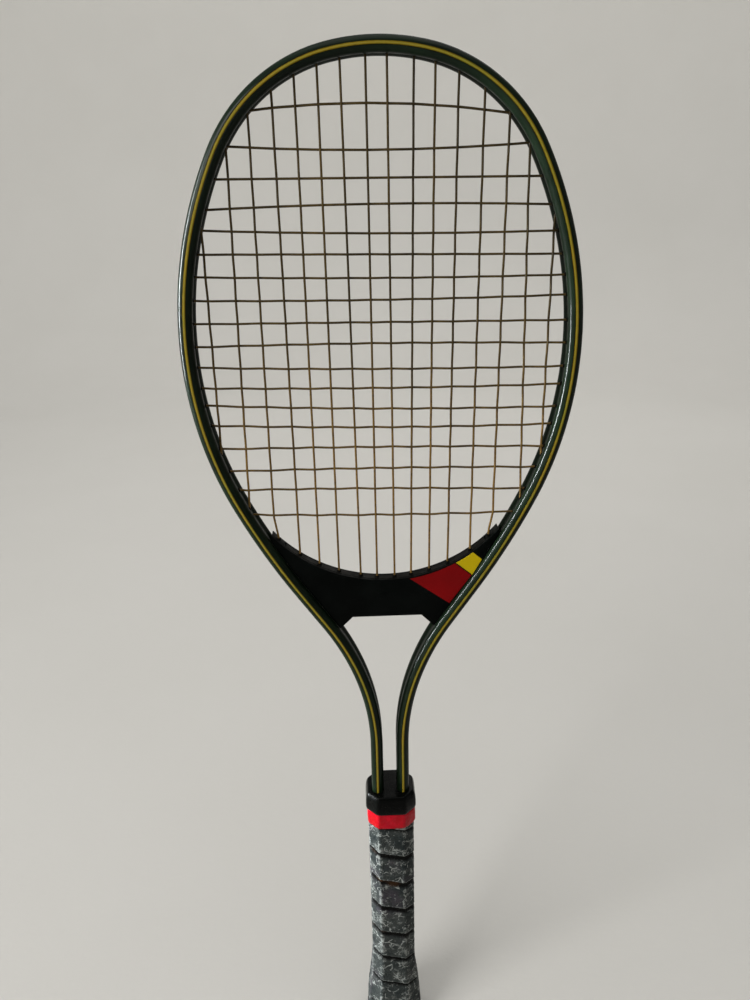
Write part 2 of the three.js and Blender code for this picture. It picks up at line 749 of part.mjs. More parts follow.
// The grip strip's path: a helix over the octagon's corners, with the frame turned to face outwards.
class GripHelix extends Stations {
  constructor(turns, start) {
    const cut = CORNER_CUT - (WRAP_THICK / 2) * CUT_PER_INSET;
    const corners = octagonPoints(GRIP_WIDTH - WRAP_THICK, GRIP_DEPTH - WRAP_THICK, cut);
    const sides = corners.map(([x, y], i) => Math.hypot(x - corners.at(i - 1)[0], y - corners.at(i - 1)[1]));
    const perimeter = sides.reduce((sum, side) => sum + side, 0);
    const points = [];
    const outward = [];
    let z = start;
    for (let i = 0; i <= turns * 8; i += 1) {
      const corner = 7 - (i % 8); // clockwise from above, so the seams run down to the right
      const [x, y] = corners[corner];
      points.push(new THREE.Vector3(x, y, z));
      outward.push(mitre(corners, corner));
      z += (WRAP_PITCH * sides[corner]) / perimeter;
    }
    super(points);
    this.outward = outward;
  }
  computeFrenetFrames(segments) {
    const frames = { tangents: [], normals: [], binormals: [] };
    for (let i = 0; i <= segments; i += 1) {
      frames.tangents.push(this.getTangentAt(i / segments));
      frames.normals.push(this.outward[i]);
      frames.binormals.push(new THREE.Vector3(0, 0, 1));
    }
    return frames;
  }
}

// The outward mitre at a corner: moving a corner by it moves both sides out by one.
function mitre(corners, i) {
  const here = new THREE.Vector2(...corners[i]);
  const before = new THREE.Vector2(...corners.at(i - 1));
  const after = new THREE.Vector2(...corners[(i + 1) % corners.length]);
  const a = here.clone().sub(before).normalize();
  const b = after.clone().sub(here).normalize();
  const sum = new THREE.Vector2(a.y + b.y, -a.x - b.x);
  const scale = 2 / sum.lengthSq();
  return new THREE.Vector3(sum.x * scale, sum.y * scale, 0);
}

function gripWrap() {
  const half = (WRAP_PITCH - WRAP_SEAM) / 2;
  const thick = WRAP_THICK / 2;
  const rows = 3;
  const shape = new THREE.Shape();
  shape.moveTo(thick, -half);
  for (let i = 1; i <= rows; i += 1) shape.lineTo(thick, -half + (2 * half * i) / rows);
  for (let i = rows; i >= 0; i -= 1) shape.lineTo(-thick, -half + (2 * half * i) / rows);
  const turns = Math.ceil((WRAP_TOP - WRAP_START) / WRAP_PITCH) + 1;
  const helix = new GripHelix(turns, WRAP_START);
  const geometry = new THREE.ExtrudeGeometry(shape, {
    steps: helix.points.length - 1,
    bevelEnabled: false,
    extrudePath: helix,
  });
  const keep = box(-GRIP_WIDTH, GRIP_WIDTH, -GRIP_WIDTH, GRIP_WIDTH, CAP_LIP + CLEAR, WRAP_TOP);
  return toSolid(taper(geometry, flareScale)).intersect(keep);
}

// Red finishing tape round the top of the wrap.
function finishingTape() {
  const bottom = TAPE_BOTTOM;
  const top = HANDLE_TOP;
  const outer = octagonPrism(-TAPE_THICK - CLEAR, bottom, top);
  return outer.subtract(octagonPrism(-CLEAR, bottom - 1, top + 1));
}

// The cap over the handle's top, which the shafts enter.
function shaftCollar() {
  const shape = new THREE.Shape(
    octagonPoints(GRIP_WIDTH, GRIP_DEPTH, CORNER_CUT).map(([x, y]) => new THREE.Vector2(x, y)),
  );
  const steps = COLLAR_RINGS.length - 1;
  const geometry = new THREE.ExtrudeGeometry(shape, { depth: steps, steps, bevelEnabled: false });
  const position = geometry.attributes.position;
  for (let i = 0; i < position.count; i += 1) {
    const [z, width] = COLLAR_RINGS[Math.round(position.getZ(i))];
    const scale = width / GRIP_WIDTH;
    position.setXYZ(i, position.getX(i) * scale, position.getY(i) * scale, z);
  }
  const slots = [-1, 1].map((side) => {
    const x = side * SHAFT_X;
    const corners = octagonPoints(2 * SHAFT_HALF, 2 * (TUBE_HALF_DEPTH + CLEAR), SLOT_CUT);
    const slotShape = new THREE.Shape(corners.map(([px, py]) => new THREE.Vector2(x + px, py)));
    const slot = new THREE.ExtrudeGeometry(slotShape, { depth: 2 * GRIP_DEPTH, bevelEnabled: false });
    slot.translate(0, 0, TAPE_BOTTOM);
    return toSolid(slot);
  });
  return toSolid(geometry).subtract(unite(slots));
}

// ---- Assembly ----

const BLACK_GREEN = { color: 0x0c1a14, roughness: 0.25, metalness: 0.3 };
const BLACK_PLASTIC = { color: 0x0a0b0c, roughness: 0.5, metalness: 0 };
const STRIP_PLASTIC = { color: 0x2a2418, roughness: 0.55, metalness: 0 };
const STRING_AMBER = { color: 0x4a3a20, roughness: 0.35, metalness: 0 };
const FOAM = { color: 0xb08a5a, roughness: 0.9, metalness: 0 };
const RED = { color: 0x9a0016, roughness: 0.4, metalness: 0 };
const YELLOW = { color: 0xc0a008, roughness: 0.4, metalness: 0 };
const TAPE_RED = { color: 0xd4082c, roughness: 0.25, metalness: 0 };
const GRIP = { color: 0x3c4247, roughness: 0.7, metalness: 0 };
const RIVET = { color: 0xa8a9aa, roughness: 0.35, metalness: 1 };

const racket = new THREE.Group();

function addPiece(name, solid, look, parent) {
  const mesh = new THREE.Mesh(toGeometry(solid), new THREE.MeshStandardMaterial(look));
  mesh.name = name;
  parent.add(mesh);
}

const frameGroup = new THREE.Group();
const stringGroup = new THREE.Group();
const handleGroup = new THREE.Group();
racket.add(frameGroup, stringGroup, handleGroup);

const stripEnd = mainBottom(BRIDGE_MAINS, 1) + STRIP_TAIL;
const stripBreak = mainTop(BRIDGE_MAINS - 2, 1) + STRIP_BREAK;

addPiece("frame_tube", frameTube(), BLACK_GREEN, frameGroup);
addPiece("head_grommet_strip", grommetStrip(-stripBreak, stripBreak), STRIP_PLASTIC, frameGroup);
addPiece("left_grommet_strip", grommetStrip(-stripEnd, -stripBreak - CLEAR), STRIP_PLASTIC, frameGroup);
addPiece("right_grommet_strip", grommetStrip(stripBreak + CLEAR, stripEnd), STRIP_PLASTIC, frameGroup);
addPiece("throat_bridge", throatBridge(), BLACK_PLASTIC, frameGroup);
addPiece("bridge_grommet_strip", bridgeGrommetStrip(), STRIP_PLASTIC, frameGroup);
addPiece("left_bridge_rivet", bridgeRivet(-1), RIVET, frameGroup);
addPiece("right_bridge_rivet", bridgeRivet(1), RIVET, frameGroup);
addPiece("front_red_flash", flash(RED_FLASH, true, 0), RED, frameGroup);
addPiece("front_yellow_flash", flash(YELLOW_FLASH, true, 0), YELLOW, frameGroup);
addPiece("rear_red_flash", flash(RED_FLASH, false, 0), RED, frameGroup);
addPiece("rear_yellow_flash", flash(YELLOW_FLASH, false, 0), YELLOW, frameGroup);

addPiece("main_string", mainString(), STRING_AMBER, stringGroup);
addPiece("cross_string", crossString(), STRING_AMBER, stringGroup);

addPiece("front_pallet", palletShell(true), FOAM, handleGroup);
addPiece("rear_pallet", palletShell(false), FOAM, handleGroup);
addPiece("shaft_spacer", shaftSpacer(), BLACK_PLASTIC, handleGroup);
addPiece("butt_cap", buttCap(), BLACK_PLASTIC, handleGroup);
addPiece("butt_door", buttDoor(), BLACK_PLASTIC, handleGroup);
addPiece("grip_wrap", gripWrap(), GRIP, handleGroup);
addPiece("finishing_tape", finishingTape(), TAPE_RED, handleGroup);
addPiece("shaft_collar", shaftCollar(), BLACK_PLASTIC, handleGroup);

export default racket;
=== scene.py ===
"""A strung tennis racket, standing on its butt end. Sizes are in millimetres until a mesh is made."""

import json
import math

import bmesh
import bpy
import numpy as np
from mathutils import Matrix, Vector, noise

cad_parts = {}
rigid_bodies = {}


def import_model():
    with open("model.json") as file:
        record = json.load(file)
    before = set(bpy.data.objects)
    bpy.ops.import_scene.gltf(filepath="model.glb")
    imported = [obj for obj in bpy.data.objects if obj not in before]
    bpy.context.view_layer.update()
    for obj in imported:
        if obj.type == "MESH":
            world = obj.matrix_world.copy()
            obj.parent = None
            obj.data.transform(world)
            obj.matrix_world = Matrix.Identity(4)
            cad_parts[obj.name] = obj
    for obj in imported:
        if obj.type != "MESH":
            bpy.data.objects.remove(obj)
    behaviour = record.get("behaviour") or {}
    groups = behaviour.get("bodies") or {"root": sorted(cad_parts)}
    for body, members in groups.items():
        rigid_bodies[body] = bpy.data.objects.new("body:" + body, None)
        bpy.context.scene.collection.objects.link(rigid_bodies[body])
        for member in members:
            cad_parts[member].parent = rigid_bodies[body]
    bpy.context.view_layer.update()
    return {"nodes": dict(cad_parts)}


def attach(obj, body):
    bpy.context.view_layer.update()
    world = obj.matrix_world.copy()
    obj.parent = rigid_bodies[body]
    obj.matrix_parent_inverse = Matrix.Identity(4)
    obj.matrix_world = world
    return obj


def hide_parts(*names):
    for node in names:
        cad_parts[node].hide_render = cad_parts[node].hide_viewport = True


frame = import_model()
MM = 0.001


# ---- Camera ----

CAMERA_AT = (-0.01483, -0.443, 0.616)  # metres
CAMERA_LENS = 28.44
CAMERA_PITCH = 21.487
CAMERA_YAW = 1.164
CAMERA_ROLL = -1.397


def add_camera():
    pitch, yaw, roll = (math.radians(angle) for angle in (CAMERA_PITCH, CAMERA_YAW, CAMERA_ROLL))
    look = Vector((math.sin(yaw) * math.cos(pitch), math.cos(yaw) * math.cos(pitch), -math.sin(pitch)))
    level = Vector((math.cos(yaw), -math.sin(yaw), 0))
    above = level.cross(look)
    right = level * math.cos(roll) + above * math.sin(roll)
    up = above * math.cos(roll) - level * math.sin(roll)
    data = bpy.data.cameras.new("camera")
    data.lens = CAMERA_LENS
    data.sensor_width = 36
    camera = bpy.data.objects.new("camera", data)
    turn = Matrix((right, up, -look)).transposed().to_4x4()
    camera.matrix_world = Matrix.Translation(CAMERA_AT) @ turn
    bpy.context.collection.objects.link(camera)
    bpy.context.scene.camera = camera


add_camera()
bpy.context.scene.view_settings.view_transform = "Standard"


# ---- Outline of the tube's centre line ----

LENGTH = 686
LOBE_R = 4.2
LOBE_Y = 4.8
CROWN = LENGTH - LOBE_R
SHAFT_END = 78
HEAD_ARCS = [(117.5, 12.25), (86.4, 50.75), (217.7, 52.5), (463, 8.35)]  # radius, sweep from the crown
THROAT_STRAIGHT = 27.4
THROAT_R = 169.3
BEND_STEP = 2.6
STRAIGHT_STEP = 9.0


def along(run, distance):
    """Place and heading at a distance along one arc or straight."""
    x, z, heading, curvature, _ = run
    turned = heading + curvature * distance
    if curvature == 0:
        return x + distance * math.cos(heading), z - distance * math.sin(heading), turned
    dx = (math.sin(turned) - math.sin(heading)) / curvature
    dz = (math.cos(turned) - math.cos(heading)) / curvature
    return x + dx, z + dz, turned


def outline_runs():
    """The tube's right half from the crown down, as (x, z, heading, curvature, length)."""
    runs = []
    x, z, heading = 0.0, CROWN, 0.0

    def add(length, curvature):
        nonlocal x, z, heading
        runs.append((x, z, heading, curvature, length))
        x, z, heading = along(runs[-1], length)

    for radius, sweep_angle in HEAD_ARCS:
        add(radius * math.radians(sweep_angle), 1 / radius)
    add(THROAT_STRAIGHT, 0)
    add(THROAT_R * (heading - math.pi / 2), -1 / THROAT_R)
    add(z - SHAFT_END, 0)
    return runs


RUNS = outline_runs()
HALF_LENGTH = sum(run[4] for run in RUNS)
HEAD_LENGTH = sum(run[4] for run in RUNS[: len(HEAD_ARCS)])
SHAFT_X = along(RUNS[-1], 0)[0]


def outline_frame(distance):
    """Centre and inward direction at a signed distance from the crown, negative on the left."""
    side = -1 if distance < 0 else 1
    rest = min(abs(distance), HALF_LENGTH)
    i = 0
    while i < len(RUNS) - 1 and rest > RUNS[i][4]:
        rest -= RUNS[i][4]
        i += 1
    x, z, heading = along(RUNS[i], rest)
    return Vector((side * x, 0, z)), Vector((-side * math.sin(heading), 0, -math.cos(heading)))


def outline(distance, inset=0.0, y=0.0):
    """A point at a distance round the tube, moved inward by inset and back by y."""
    centre, inward = outline_frame(distance)
    point = centre + inward * inset
    point.y = y
    return point


def ease(value, low, high):
    """Rises smoothly from 0 at low to 1 at high."""
    t = min(max((value - low) / (high - low), 0), 1)
    return t * t * (3 - 2 * t)


def solve(test, low, high):
    """The value between low and high at which test changes sign."""
    start = test(low) > 0
    for _ in range(48):
        middle = (low + high) / 2
        if (test(middle) > 0) == start:
            low = middle
        else:
            high = middle
    return (low + high) / 2


WIDEST = solve(lambda d: outline(d + 0.01).x - outline(d).x, 100, HEAD_LENGTH)


def stations(start, end):
    """Signed distances from start to end, close together on bends."""
    marks = [0.0]
    for run in RUNS:
        begin = marks[-1]
        count = max(1, round(run[4] / (BEND_STEP if run[3] else STRAIGHT_STEP)))
        marks += [begin + run[4] * (i + 1) / count for i in range(count)]
    both = sorted({-m for m in marks} | set(marks))
    inside = [m for m in both if start + 0.5 < m < end - 0.5]
    return [start, *inside, end]


# ---- Mesh helpers ----

LEAST_GAP = 0.05
TUBE_END = 0.55  # a tube's radius at its two ends, as a share


def mark_creases(edit, angle):
    for edge in edit.edges:
        if len(edge.link_faces) == 2 and edge.calc_face_angle(0) > math.radians(angle):
            edge.smooth = False


def mesh_object(name, verts, faces, material, smooth=True, crease_angle=None):
    """An object in metres, from vertices in millimetres."""
    mesh = bpy.data.meshes.new(name)
    mesh.from_pydata([[float(c) * MM for c in v] for v in verts], [], faces)
    mesh.materials.append(material)
    edit = bmesh.new()
    edit.from_mesh(mesh)
    bmesh.ops.remove_doubles(edit, verts=edit.verts, dist=1e-7)
    bmesh.ops.recalc_face_normals(edit, faces=edit.faces)
    for face in edit.faces:
        face.smooth = smooth
    if crease_angle:
        mark_creases(edit, crease_angle)
    edit.to_mesh(mesh)
    edit.free()
    piece = bpy.data.objects.new(name, mesh)
    bpy.context.collection.objects.link(piece)
    return piece


def loft(rings, caps=True):
    """Quads between closed rings of equal length, as vertices and faces."""
    count = len(rings[0])
    verts = [v for ring in rings for v in ring]
    faces = []
    for r in range(len(rings) - 1):
        for i in range(count):
            j = (i + 1) % count
            faces.append((r * count + i, r * count + j, (r + 1) * count + j, (r + 1) * count + i))
    if caps:
        faces.append(tuple(range(count - 1, -1, -1)))
        faces.append(tuple((len(rings) - 1) * count + i for i in range(count)))
    return verts, faces


def join_parts(parts):
    """Puts several (vertices, faces) together."""
    verts, faces = [], []
    for part_verts, part_faces in parts:
        base = len(verts)
        verts += part_verts
        faces += [tuple(base + i for i in face) for face in part_faces]
    return verts, faces


def circle(centre, a, b, radius, sides):
    """Points round a circle in the plane of the unit vectors a and b."""
    angles = [2 * math.pi * i / sides for i in range(sides)]
    return [centre + (a * math.cos(t) + b * math.sin(t)) * radius for t in angles]


def fillet(points, radius, steps=5, least=12):
    """Rounds the corners of a polyline that turn by more than least degrees."""
    out = [points[0]]
    for before, here, after in zip(points, points[1:], points[2:]):
        a, b = before - here, after - here
        if a.length < 1e-6 or b.length < 1e-6 or math.degrees(math.pi - a.angle(b)) < least:
            out.append(here)
            continue
        start = here + a.normalized() * min(radius, a.length * 0.45)
        end = here + b.normalized() * min(radius, b.length * 0.45)
        for i in range(steps + 1):
            t = i / steps
            out.append(start * (1 - t) ** 2 + here * 2 * t * (1 - t) + end * t * t)
    out.append(points[-1])
    return out


def spaced(points):
    """Leaves out each point that almost repeats the one before it."""
    out = [points[0]]
    for p in points[1:]:
        if (p - out[-1]).length > LEAST_GAP:
            out.append(p)
    return out


def tube(points, radius, sides=10):
    """A round tube along a path, with a frame carried along it, and narrowed ends."""
    path = spaced(points)
    last = len(path) - 1
    tangents = [(path[min(i + 1, last)] - path[max(i - 1, 0)]).normalized() for i in range(last + 1)]
    normal = tangents[0].orthogonal().normalized()
    rings = []
    for i, (p, t) in enumerate(zip(path, tangents)):
        normal = (normal - t * normal.dot(t)).normalized()
        at_end = i in (0, last)
        rings.append(circle(p, normal, t.cross(normal), radius * (TUBE_END if at_end else 1), sides))
    return loft(rings)


def outline_sweep(section, start, end):
    """A section of (y, inward) points, swept along the tube's outline between two distances."""
    rings = []
    for d in stations(start, end):
        centre, inward = outline_frame(d)
        rings.append([Vector((centre.x + inward.x * n, y, centre.z + inward.z * n)) for y, n in section])
    return loft(rings)


def ring_solid(centre, axis, outer, inner, profile, sides):
    """A round collar about an axis: profile is (distance along the axis, share from inner to outer)."""
    axis = axis.normalized()
    a = axis.orthogonal().normalized()
    b = axis.cross(a)
    rings = []
    for height, share in [*profile, profile[0]]:
        rings.append(circle(centre + axis * height, a, b, inner + (outer - inner) * share, sides))
    return loft(rings, caps=False)


def bake_modifiers(piece):
    """Replaces the mesh by its modified version."""
    graph = bpy.context.evaluated_depsgraph_get()
    made = bpy.data.meshes.new_from_object(piece.evaluated_get(graph))
    piece.modifiers.clear()
    piece.data = made


def cut(piece, cutter):
    """Takes cutter away from piece."""
    modifier = piece.modifiers.new("cut", "BOOLEAN")
    modifier.operation = "DIFFERENCE"
    modifier.solver = "EXACT"
    modifier.object = cutter
    bake_modifiers(piece)
    bpy.data.objects.remove(cutter)


def round_edges(piece, width, angle):
    modifier = piece.modifiers.new("round", "BEVEL")
    modifier.width = width * MM
    modifier.segments = 3
    modifier.limit_method = "ANGLE"
    modifier.angle_limit = math.radians(angle)
    bake_modifiers(piece)
    for polygon in piece.data.polygons:
        polygon.use_smooth = True


def place(piece, slot, *nodes):
    """Hangs a piece on the racket, in place of CAD nodes."""
    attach(piece, "root")
    if nodes:
        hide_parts(*nodes)


def add_piece(name, solid, material, slot, *nodes, **shading):
    """Makes a piece from its (vertices, faces) and places it."""
    place(mesh_object(name, *solid, material, **shading), slot, *nodes)


# ---- Materials ----


class Look:
    """A procedural material: thin helpers round one Principled shader."""

    def __init__(self, name, **inputs):
        self.material = bpy.data.materials.new(name)
        self.material.use_nodes = True
        self.tree = self.material.node_tree
        self.shader = self.tree.nodes["Principled BSDF"]
        for key, value in inputs.items():
            self.shader.inputs[key.replace("_", " ")].default_value = value
        self.place = self.node("ShaderNodeTexCoord").outputs["Object"]

    def node(self, kind, **inputs):
        made = self.tree.nodes.new(kind)
        for key, value in inputs.items():
            self.feed(made.inputs[key.replace("_", " ")], value)
        return made

    def feed(self, socket, value):
        if isinstance(value, bpy.types.NodeSocket):
            self.tree.links.new(value, socket)
        else:
            socket.default_value = (*value, 1.0) if socket.type == "RGBA" else value

    def to(self, key, value):
        self.feed(self.shader.inputs[key], value)

    def stretched(self, scale, source=None):
        mapping = self.node("ShaderNodeMapping", Scale=scale)
        self.feed(mapping.inputs["Vector"], source or self.place)
        return mapping.outputs["Vector"]

    def noise(self, scale, detail, roughness=0.55, distortion=0.0, vector=None):
        kind = "ShaderNodeTexNoise"
        made = self.node(kind, Scale=scale, Detail=detail, Roughness=roughness, Distortion=distortion)
        self.feed(made.inputs["Vector"], vector or self.place)
        return made.outputs["Fac"]

    def cells(self, scale, feature="DISTANCE_TO_EDGE", vector=None):
        made = self.node("ShaderNodeTexVoronoi", Vector=vector or self.place, Scale=scale)
        made.feature = feature
        return made.outputs["Distance"]

    def math(self, operation, a, b=0.0, kind="ShaderNodeMath"):
        made = self.tree.nodes.new(kind)
        made.operation = operation
        self.feed(made.inputs[0], a)
        self.feed(made.inputs[1], b)
        return made.outputs[0]

    def times(self, a, b):
        return self.math("MULTIPLY", a, b)

    def most(self, a, b):
        return self.math("MAXIMUM", a, b)

    def span(self, value, low, high, out_low=0.0, out_high=1.0):
        """Eases from out_low to out_high as value goes from low to high."""
        ends = {"From_Min": low, "From_Max": high, "To_Min": out_low, "To_Max": out_high}
        made = self.node("ShaderNodeMapRange", Value=value, **ends)
        made.interpolation_type = "SMOOTHSTEP"
        return made.outputs["Result"]

    def patches(self, scale, detail, low, high, **options):
        """Noise, eased between low and high."""
        return self.span(self.noise(scale, detail, **options), low, high)

    def rough(self, scale, detail, low, high, smoothest, roughest):
        self.to("Roughness", self.span(self.noise(scale, detail), low, high, smoothest, roughest))

    def mix(self, share, a, b):
        made = self.tree.nodes.new("ShaderNodeMix")
        made.data_type = "RGBA"
        self.feed(made.inputs["Factor"], share)
        self.feed(made.inputs["A"], a)
        self.feed(made.inputs["B"], b)
        return made.outputs["Result"]

    def warped(self, amount, scale):
        """The object's coordinates, pushed about by noise."""
        push = self.node("ShaderNodeTexNoise", Vector=self.place, Scale=scale, Detail=3.0)
        centred = self.math("SUBTRACT", push.outputs["Color"], [0.5] * 3, kind="ShaderNodeVectorMath")
        scaled = self.math("MULTIPLY", centred, [amount] * 3, kind="ShaderNodeVectorMath")
        return self.math("ADD", self.place, scaled, kind="ShaderNodeVectorMath")

    def bump(self, height, distance, strength, under=None):
        made = self.node("ShaderNodeBump", Height=height, Strength=strength, Distance=distance)
        if under:
            self.feed(made.inputs["Normal"], under)
        self.to("Normal", made.outputs["Normal"])
        return made.outputs["Normal"]


def tube_paint():
    look = Look("tube_paint", Coat_Weight=0.13, Coat_Roughness=0.05, Specular_IOR_Level=0.04)
    base = look.mix(look.patches(35, 4, 0.35, 0.7), (0.002, 0.0048, 0.002), (0.0042, 0.0098, 0.0042))
    scuff = look.noise(420, 6, 0.7, vector=look.warped(0.01, 60))
    worn = look.span(scuff, 0.66, 0.74)
    base = look.mix(look.times(worn, 0.3), base, (0.024, 0.03, 0.018))
    look.to("Base Color", base)
    look.rough(160, 5, 0.3, 0.75, 0.3, 0.5)
    look.bump(look.noise(900, 2), 0.00008, 0.3)
    return look.material


def stripe_paint():
    look = Look("stripe_paint", Coat_Weight=0.06, Coat_Roughness=0.15, Specular_IOR_Level=0.06)
    across = look.node("ShaderNodeSeparateXYZ")
    look.feed(across.inputs[0], look.node("ShaderNodeUVMap").outputs["UV"])
    u = look.math("ABSOLUTE", look.math("SUBTRACT", across.outputs["X"], 0.5))
    ragged = look.times(look.math("SUBTRACT", look.noise(260, 5, 0.7), 0.5), 0.16)
    u = look.math("ADD", u, ragged)
    # Painted shade and highlight: both sides of the stripe are painted a dark brown, where the groove's
    # walls shade it, and its middle is painted lighter, where its crest catches the light.
    edge = look.span(u, 0.2, 0.38)
    core = look.span(u, 0.16, 0.02)
    patch = look.patches(48, 4, 0.35, 0.7)
    body = look.mix(patch, (0.19, 0.128, 0.006), (0.15, 0.128, 0.008))
    body = look.mix(look.times(core, 0.5), body, (0.27, 0.235, 0.05))
    groove_shadow = look.mix(look.patches(45, 3, 0.42, 0.6), (0.018, 0.016, 0.002), (0.035, 0.017, 0.001))
    look.to("Base Color", look.mix(edge, body, groove_shadow))
    look.rough(200, 4, 0.3, 0.7, 0.35, 0.55)
    look.bump(look.noise(700, 3), 0.00005, 0.4)
    return look.material


def string_gut(name, dull, bright):
    """Old gut-coloured nylon: olive at the crown, painted dull to bright amber lower down, a painted warm
    light on the lower strings.
    """
    look = Look(name, Coat_Weight=0.1, Coat_Roughness=0.25, Roughness=0.4, Specular_IOR_Level=0.12)
    height = look.node("ShaderNodeSeparateXYZ")
    look.feed(height.inputs[0], look.place)
    # Painted light: below the head's middle the strings turn a brighter amber, as though lit warm.
    low = look.span(height.outputs["Z"], 0.58, 0.42)
    cloud = look.noise(14, 3, 0.6, vector=look.stretched((3.0, 1.0, 0.5)))
    tone = look.span(cloud, 0.3, 0.7)
    amber = look.mix(tone, dull, bright)
    olive = look.mix(tone, (0.028, 0.02, 0.008), (0.075, 0.05, 0.015))
    share = look.math("ADD", look.times(low, 0.75), look.times(cloud, 0.5))
    base = look.mix(look.span(share, 0.2, 1.0), olive, amber)
    dirt = look.patches(500, 4, 0.45, 0.7, roughness=0.7)
    look.to("Base Color", look.mix(look.times(dirt, 0.55), base, (0.022, 0.015, 0.007)))
    look.bump(look.noise(1600, 3), 0.00006, 0.5)
    return look.material


def moulded_plastic(name, dark, light, rough, specular):
    look = Look(name, Specular_IOR_Level=specular)
    base = look.mix(look.patches(60, 5, 0.35, 0.75, roughness=0.6), dark, light)
    scratch = look.noise(90, 6, 0.75, vector=look.stretched((6, 1, 1), look.warped(0.02, 25)))
    scratch = look.times(look.span(scratch, 0.66, 0.74), 0.12)
    look.to("Base Color", look.mix(scratch, base, (0.035, 0.038, 0.035)))
    look.rough(130, 5, 0.3, 0.7, *rough)
    look.bump(look.noise(1500, 2), 0.00007, 0.5)
    return look.material


def decal(name, fresh, deep, worn):
    look = Look(name, Coat_Weight=0.04, Coat_Roughness=0.2, Specular_IOR_Level=0.05)
    base = look.mix(look.patches(55, 4, 0.3, 0.7), fresh, deep)
    chips = look.span(look.noise(520, 6, 0.75, vector=look.warped(0.006, 90)), 0.66, 0.7)
    look.to("Base Color", look.mix(look.times(chips, 0.7), base, worn))
    look.rough(210, 4, 0.3, 0.7, 0.3, 0.5)
    look.bump(look.noise(800, 3), 0.00005, 0.4)
    return look.material


def brushed_metal():
    look = Look("rivet_metal", Metallic=1.0)
    base = look.mix(look.patches(400, 4, 0.35, 0.7), (0.42, 0.42, 0.41), (0.62, 0.62, 0.6))
    look.to("Base Color", base)
    look.rough(900, 4, 0.3, 0.7, 0.28, 0.5)
    look.bump(look.noise(2500, 2), 0.00004, 0.5)
    return look.material


def vinyl_tape():
    look = Look("vinyl_tape", Coat_Weight=0.2, Coat_Roughness=0.08, Specular_IOR_Level=0.04)
    base = look.mix(look.patches(90, 3, 0.35, 0.7), (0.31, 0.0006, 0.004), (0.39, 0.001, 0.011))
    look.to("Base Color", base)
    look.rough(180, 4, 0.3, 0.7, 0.2, 0.38)
    creases = look.noise(85, 3, 0.5, 1.5, vector=look.stretched((1, 1, 2.2)))
    look.bump(creases, 0.0005, 0.35)
    return look.material


def grip_leather():
    """Cracked synthetic leather: the mesh says where its seams, frayed edges and worn corners are."""
    look = Look("grip_leather", Specular_IOR_Level=0.09)
    marks = {}
    for name in ("seam", "fray", "corner"):
        reader = look.node("ShaderNodeAttribute")
        reader.attribute_name = name
        marks[name] = reader.outputs["Fac"]
    cloud = look.noise(60, 5, 0.65)
    base = look.mix(look.span(cloud, 0.3, 0.7), (0.013, 0.018, 0.0185), (0.046, 0.051, 0.048))
    tint = look.patches(38, 3, 0.52, 0.7)
    base = look.mix(look.times(tint, 0.45), base, (0.06, 0.045, 0.06))
    veins = look.cells(150, vector=look.warped(0.006, 170))
    fine = look.cells(330, vector=look.warped(0.003, 360))
    speck = look.noise(520, 5, 0.8)
    crack = look.times(look.span(veins, 0.075, 0.025), look.patches(170, 4, 0.5, 0.57, roughness=0.6))
    small = look.times(look.span(fine, 0.09, 0.03), look.patches(120, 3, 0.53, 0.62))
    pale = look.most(crack, look.times(small, 0.7))
    pale = look.times(pale, look.span(speck, 0.3, 0.55))
    pale = look.most(pale, look.times(look.span(speck, 0.61, 0.7), 0.3))
    worn = look.times(marks["corner"], look.patches(240, 4, 0.5, 0.58, roughness=0.7))
    fray = look.times(marks["fray"], look.patches(210, 4, 0.38, 0.55))
    pale = look.most(pale, look.most(look.times(worn, 0.75), fray))
    base = look.mix(look.times(pale, 0.9), base, (0.27, 0.285, 0.27))
    tan = look.patches(22, 2, 0.58, 0.66)
    floor = look.mix(tan, (0.0015, 0.0015, 0.0012), (0.1, 0.038, 0.008))
    look.to("Base Color", look.mix(marks["seam"], base, floor))
    look.rough(140, 4, 0.3, 0.7, 0.5, 0.78)
    under = look.bump(look.noise(420, 6, 0.7), 0.0004, 0.6)
    look.bump(look.math("ADD", look.span(veins, 0.0, 0.1), fine), 0.00035, 0.7, under)
    return look.material


def foam_core():
    look = Look("foam_core", Roughness=0.9)
    base = look.mix(look.noise(120, 4), (0.42, 0.3, 0.16), (0.55, 0.42, 0.26))
    look.to("Base Color", base)
    look.bump(look.cells(900, "F1"), 0.0002, 0.6)
    return look.material


PAINT = tube_paint()
STRIPE = stripe_paint()
GUT = string_gut("main_gut", (0.11, 0.064, 0.016), (0.25, 0.145, 0.036))
DARK_GUT = string_gut("cross_gut", (0.055, 0.036, 0.013), (0.15, 0.09, 0.026))
STRIP = moulded_plastic(
    "strip_nylon", (0.002, 0.002, 0.0015), (0.006, 0.0055, 0.004), (0.4, 0.6), 0.05
)
BRIDGE = moulded_plastic(
    "bridge_plastic", (0.0009, 0.0014, 0.0012), (0.0022, 0.003, 0.0027), (0.36, 0.52), 0.03
)
COLLAR = moulded_plastic(
    "collar_plastic", (0.0008, 0.001, 0.0008), (0.002, 0.0024, 0.002), (0.16, 0.3), 0.06
)
RED = decal("red_film", (0.19, 0.001, 0.002), (0.155, 0.0008, 0.0015), (0.06, 0.003, 0.003))
YELLOW = decal("yellow_film", (0.52, 0.38, 0.003), (0.44, 0.33, 0.003), (0.2, 0.14, 0.01))
METAL = brushed_metal()
TAPE = vinyl_tape()
LEATHER = grip_leather()
FOAM = foam_core()


# ---- Frame tube ----

WAIST_INNER = 3.0
CHANNEL_FLOOR = 1.8
CHANNEL_HALF = 2.2
GROOVE_ANGLE = 15.0
GROOVE_DEPTH = 0.14
SKIN = 0.1  # keeps the curved lobes inside the CAD model's faceted ones
STRIPE_HALF = 13.6  # degrees round the lobe
STRIPE_WIDTH = 2.2
STRIPE_STOP = 130  # from the end of the shaft, inside the collar


